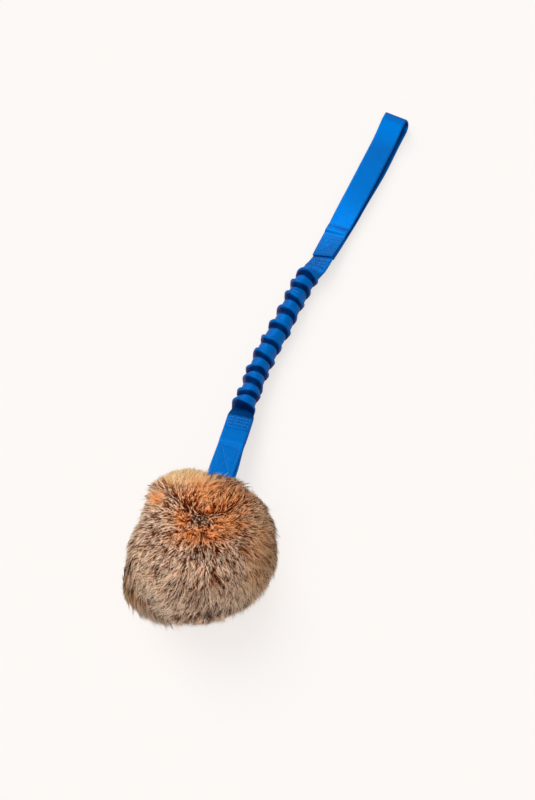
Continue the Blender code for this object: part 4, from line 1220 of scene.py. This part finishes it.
tuftDirections = unit(fibonacciSphere(fur["tufts"]) + rng.normal(scale=0.016, size=(fur["tufts"], 3)))
lockDirections = unit(fibonacciSphere(fur["locks"]) + rng.normal(scale=0.045, size=(fur["locks"], 3)))
lockOf = nearestOf(lockDirections, tuftDirections)
tuftOf = nearestOf(tuftDirections, directions)
lockLean = rng.normal(scale=fur["lean"], size=fur["locks"])
lockSwing = rng.normal(scale=fur["lockSwing"], size=fur["locks"])
tuftLean = lockLean[lockOf] + rng.normal(scale=fur["lean"], size=fur["tufts"])
tuftSwing = lockSwing[lockOf] + rng.normal(scale=fur["tuftSwing"], size=fur["tufts"])
tuftLength = np.clip(rng.normal(1.0, 0.10, fur["tufts"]), 0.75, 1.25)
pit = markAmount(darkMarks, ballCentre + tuftDirections * furReach(tuftDirections)[:, None])
tuftLength *= 1 - 0.60 * pit
lockPaths = hairPath(lockDirections, np.ones(fur["locks"]), lockLean, lockSwing, shares)
tuftPaths = hairPath(tuftDirections, tuftLength, tuftLean, tuftSwing, shares)
tuftPaths += (lockPaths[lockOf] - tuftPaths) * fur["lockPull"] * shares[None, :, None] ** 1.5

fibreDirections = unit(fibonacciSphere(fur["fibres"]) + rng.normal(scale=0.009, size=(fur["fibres"], 3)))
fibreOf = nearestOf(fibreDirections, directions)
tuftOfFibre = nearestOf(tuftDirections, fibreDirections)
paleFibre = rng.random(fur["fibres"]) < fur["paleShare"]
leanApart = rng.normal(size=fur["fibres"]) * np.where(paleFibre, fur["paleLean"], fur["lean"])
fibreLean = tuftLean[tuftOfFibre] + leanApart - fur["paleRise"] * paleFibre
swingApart = rng.normal(size=fur["fibres"]) * np.where(paleFibre, fur["paleSwing"], fur["darkSwing"])
fibreSwing = tuftSwing[tuftOfFibre] + swingApart
fibreLength = tuftLength[tuftOfFibre] * rng.uniform(0.86, 1.06, fur["fibres"])
fibreLength *= np.where(paleFibre, fur["paleLength"], fur["darkLength"])
fibrePaths = hairPath(fibreDirections, fibreLength, fibreLean, fibreSwing, shares)
fibrePaths += (tuftPaths[tuftOfFibre] - fibrePaths) * fur["tuftPull"] * shares[None, :, None] ** 1.3

# guard and crisp hairs go their own way, the others run with their fibre
kind = rng.random(hairCount)
guard = kind < fur["guardShare"]
crisp = (kind >= fur["guardShare"]) & (kind < fur["guardShare"] + fur["crispShare"])
single = guard | crisp
paleHair = paleFibre[fibreOf]
lengthScale = tuftLength[tuftOf] * rng.uniform(0.80, 1.06, hairCount)
lengthScale = np.where(guard, lengthScale * rng.uniform(*fur["guardLength"], hairCount), lengthScale)
lengthScale = np.where(crisp, lengthScale * fur["crispLength"], lengthScale)
lean = tuftLean[tuftOf] + rng.normal(scale=fur["lean"], size=hairCount)
lean -= fur["guardRise"] * guard + fur["crispRise"] * crisp
swing = tuftSwing[tuftOf] + rng.normal(scale=fur["hairSwing"], size=hairCount)
hairs = hairPath(directions, lengthScale, lean, swing, shares)
pull = (fur["fibrePull"] * rng.uniform(0.75, 1.15, hairCount))[:, None] * shares[None, :] ** 0.8
pull = np.where(paleHair[:, None], np.minimum(1.12 * pull, 1), pull)
pull = np.where(single[:, None], 0.10 * pull, pull)[:, :, None]
hairs = hairs + (fibrePaths[fibreOf] - hairs) * pull
hairs += rng.normal(scale=0.0005, size=hairs.shape) * shares[None, :, None] ** 1.5
hairs[:, :, 2] = np.maximum(hairs[:, :, 2], 0.0004)

# each hair's tone: its fibre's shade, the marks that it crosses, and a little of its own
tones = {
    "paleShade": (0.76, 1.0),
    "darkShade": (0.0, 0.34),
    "ownNoise": 0.10,
    "waveShare": 0.08,
    "tuftShare": 0.06,
    "guardLift": 0.62,
    "underLift": 0.50,  # paler underneath: partly a paler belly, partly painted light on the side that faces away from the lamps
    "strawLift": 0.48,
    "rustLift": 0.10,
    "brightest": 0.98,
}
zoneSpots = hairs[:, 2]
rust = markAmount(rustMarks, zoneSpots)
straw = markAmount(strawMarks, zoneSpots)
dark = markAmount(darkMarks, zoneSpots) * np.where(single, 0.15, 1.0)
turned = rng.random(fur["fibres"])[fibreOf] < 0.9 * dark  # fibres that a dark mark takes
rust = np.clip(rust * rng.uniform(0.65, 1.25, fur["fibres"])[fibreOf], 0, 1)
waveTone = 0.5 * waves(zoneSpots, 170, 8, 21) + 0.4 * waves(zoneSpots, 65, 6, 22)
tuftTone = rng.normal(scale=0.5, size=fur["tufts"])[tuftOf]
fibreShade = np.where(paleFibre, rng.uniform(*tones["paleShade"], fur["fibres"]),
                      rng.uniform(*tones["darkShade"], fur["fibres"]))
shade = fibreShade[fibreOf] + rng.normal(scale=tones["ownNoise"], size=hairCount)
shade = np.where(turned, 0.30, 1.0) * (shade + tones["waveShare"] * waveTone + tones["tuftShare"] * tuftTone)
shade = np.where(guard, 0.35 * shade + tones["guardLift"], shade)
shade = np.where(crisp, 1.0, shade)
# the strongest dark marks take a near-black colour, which in the pit and the cleft is painted shade
dark = np.clip(2 * dark - 1, 0, 1)
# painted light: the underside, which faces away from the lamps, is lifted paler, partly as a paler belly
shade = shade + tones["underLift"] * (0.95 - shade) * ease((0.08 - directions[:, 2]) / 0.4)
# straw marks lift the tone, at the top rim and on the right side partly as painted light
shade = shade + tones["strawLift"] * (tones["brightest"] - shade) * np.clip(straw, 0, 1)
shade = np.clip(shade + tones["rustLift"] * rust, 0, 1)
thickness = np.where(paleHair, fur["paleGirth"], 1.0) * rng.uniform(0.8, 1.2, hairCount)
thickness = np.where(guard, fur["guardGirth"] * thickness, np.where(crisp, fur["crispGirth"], thickness))
print("fur combed:", hairCount, "hairs")

# agouti hair: slate root, brown middle, pale band, fine tip; the near-black root is also painted shade deep
# in the coat, since the hairs cast no shadow
furLook = {
    "agouti": [(0.0, (0.040, 0.008, 0.002)), (0.36, (0.200, 0.050, 0.014)), (0.54, (0.660, 0.270, 0.110)),
               (0.68, (1.000, 0.590, 0.360)), (0.84, (1.000, 0.730, 0.520)), (1.0, (1.000, 0.830, 0.660))],
    "rust": [(0.0, (0.080, 0.012, 0.003)), (0.32, (0.420, 0.080, 0.012)), (0.56, (0.900, 0.240, 0.045)),
             (0.80, (0.990, 0.390, 0.130)), (1.0, (1.000, 0.540, 0.250))],
    "straw": [(0.0, (0.180, 0.080, 0.024)), (0.32, (0.640, 0.340, 0.110)), (0.62, (0.920, 0.580, 0.260)),
              (1.0, (1.000, 0.790, 0.490))],
    # near-black of the strongest dark marks: partly dark coat, partly painted shade in the pit and the cleft
    "dark": (0.035, 0.012, 0.005),
    "darkMost": 0.97,
    "tint": [(0.0, (0.028, 0.006, 0.001)), (0.38, (0.190, 0.060, 0.018)), (0.62, (0.960, 0.880, 0.820)),
             (1.0, (1.0, 1.0, 1.0))],
    "roughness": 0.55,
    "specular": 0.02,
    "softness": 0.80,  # share of the coat's own direction in a hair's normals
}
coat, nodes, links, shader = newMaterial("rabbitCoat")
alongHair = attributeNode(nodes, "along")["Fac"]
channels = nodes.new("ShaderNodeSeparateColor")
links.new(attributeNode(nodes, "zone")["Color"], channels.inputs[0])
rustShare, strawShare, darkShare = channels.outputs
colour = rampNode(nodes, links, alongHair, furLook["agouti"])
colour = mixColour(nodes, links, strawShare, colour, rampNode(nodes, links, alongHair, furLook["straw"]))
colour = mixColour(nodes, links, rustShare, colour, rampNode(nodes, links, alongHair, furLook["rust"]))
tint = rampNode(nodes, links, attributeNode(nodes, "shade")["Fac"], furLook["tint"])
colour = mixColour(nodes, links, 1.0, colour, tint, "MULTIPLY")
darkShare = mathNode(nodes, links, "MULTIPLY", darkShare, furLook["darkMost"])
colour = mixColour(nodes, links, darkShare, colour, furLook["dark"])
links.new(colour, shader.inputs["Base Color"])
shader.inputs["Roughness"].default_value = furLook["roughness"]
shader.inputs["Specular IOR Level"].default_value = furLook["specular"]


def furPiece(name, chosen):
    # one three-sided strand with a point for each hair
    paths = hairs[chosen]
    count = len(paths)
    ahead = unit(np.gradient(paths, axis=1))
    side = unit(np.cross(ahead, rng.normal(size=(count, 1, 3))))
    other = np.cross(ahead, side)
    taper = np.array((0.9, 1.0, 0.88))[None, :] * fur["hairRadius"] * thickness[chosen][:, None]
    ringSpots = []
    for turn in (0, 2 * math.pi / 3, 4 * math.pi / 3):
        outward = side[:, :3] * math.cos(turn) + other[:, :3] * math.sin(turn)
        ringSpots.append(paths[:, :3] + outward * taper[:, :, None])
    body = np.stack(ringSpots, 2).reshape(count, 9, 3)  # ring by ring, three corners each
    spots = np.concatenate([body, paths[:, 3:4]], 1).reshape(-1, 3)
    quads = [(r * 3 + c, r * 3 + (c + 1) % 3, r * 3 + 3 + (c + 1) % 3, r * 3 + 3 + c)
             for r in range(2) for c in range(3)]
    tips = [(6 + c, 6 + (c + 1) % 3, 9) for c in range(3)] + [(2, 1, 0)]
    base = (np.arange(count) * 10)[:, None]
    corners = np.concatenate([base + np.array(quads).ravel()[None], base + np.array(tips).ravel()[None]], 1)
    sizes = np.tile(np.array([4] * 6 + [3] * 4), count)
    mesh = bpy.data.meshes.new(name)
    mesh.vertices.add(len(spots))
    mesh.vertices.foreach_set("co", spots.ravel())
    mesh.loops.add(corners.size)
    mesh.loops.foreach_set("vertex_index", corners.ravel().astype(np.int32))
    mesh.polygons.add(len(sizes))
    mesh.polygons.foreach_set("loop_start", np.concatenate([[0], np.cumsum(sizes)[:-1]]).astype(np.int32))
    mesh.update(calc_edges=True)
    along = np.repeat(np.append(np.repeat(shares[:3], 3), 1.0)[None], count, 0)
    along = np.where(crisp[chosen][:, None], 0.6 + 0.4 * along, along)  # crisp hairs are pale from the root
    zones = np.stack([rust[chosen], straw[chosen], dark[chosen], np.ones(count)], 1)
    for label, kindOf, field, values in (("along", "FLOAT", "value", along),
                                         ("shade", "FLOAT", "value", np.repeat(shade[chosen], 10)),
                                         ("zone", "FLOAT_COLOR", "color", np.repeat(zones, 10, 0))):
        attribute = mesh.attributes.new(label, kindOf, "POINT")
        attribute.data.foreach_set(field, values.ravel().astype(np.float32))
    mesh.shade_smooth()
    # soft normals, so that the coat takes the light as one surface
    core = np.concatenate([np.repeat(paths[:, :3], 3, 1), paths[:, 3:4]], 1)
    own = spots.reshape(count, 10, 3) - core
    outwards = unit(core - ballCentre)
    own = np.where(np.linalg.norm(own, axis=2, keepdims=True) > 1e-7, unit(own), outwards)
    soft = unit(furLook["softness"] * outwards + (1 - furLook["softness"]) * own)
    mesh.normals_split_custom_set_from_vertices(soft.reshape(-1, 3))
    mesh.materials.append(coat)
    piece = bpy.data.objects.new(name, mesh)
    bpy.context.scene.collection.objects.link(piece)
    return piece


# the two pelts meet at a seam, as in the solids
pelts = {"seamTurn": math.radians(30), "seamOffset": 0.016}
seamNormal = ballTurn @ np.array((0.0, -math.cos(pelts["seamTurn"]), -math.sin(pelts["seamTurn"])))
onSide = (hairs[:, 0] - ballCentre) @ seamNormal > pelts["seamOffset"]
turnRound = np.arctan2(directions[:, 1], directions[:, 0])
for label, group, node in (("furMain", np.where(~onSide)[0], "fur_main"),
                           ("furSide", np.where(onSide)[0], "fur_side")):
    group = group[np.argsort(turnRound[group])]
    for number, chosen in enumerate(np.array_split(group, math.ceil(len(group) / fur["perPiece"]))):
        piece = furPiece(f"{label}{number + 1}", chosen)
        piece.visible_shadow = False  # light passes between fine hairs; the underfur casts the shadow
        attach(piece, "ball")
        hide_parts(node)

# dense underfur that the hairs stand in; its near-black colour is partly painted shade deep in the coat and
# in the pit
bpy.ops.object.select_all(action="DESELECT")
bpy.ops.mesh.primitive_ico_sphere_add(subdivisions=6, radius=1)
underfur = bpy.context.object
underfur.name = "underfur"
spots = unit(np.array([v.co for v in underfur.data.vertices]))
underReach = furReach(spots) * fur["depth"] * (1 + 0.02 * waves(spots, 22, 8, 5))
spots = ballCentre + spots * underReach[:, None]
spots[:, 2] = np.maximum(spots[:, 2], 0.0006)
underfur.data.vertices.foreach_set("co", spots.ravel())
bpy.ops.object.shade_smooth()
underfur.data.materials.append(plain["darkUnderfur"])
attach(underfur, "ball")
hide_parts("fur_main", "fur_side")
print("fur ready")
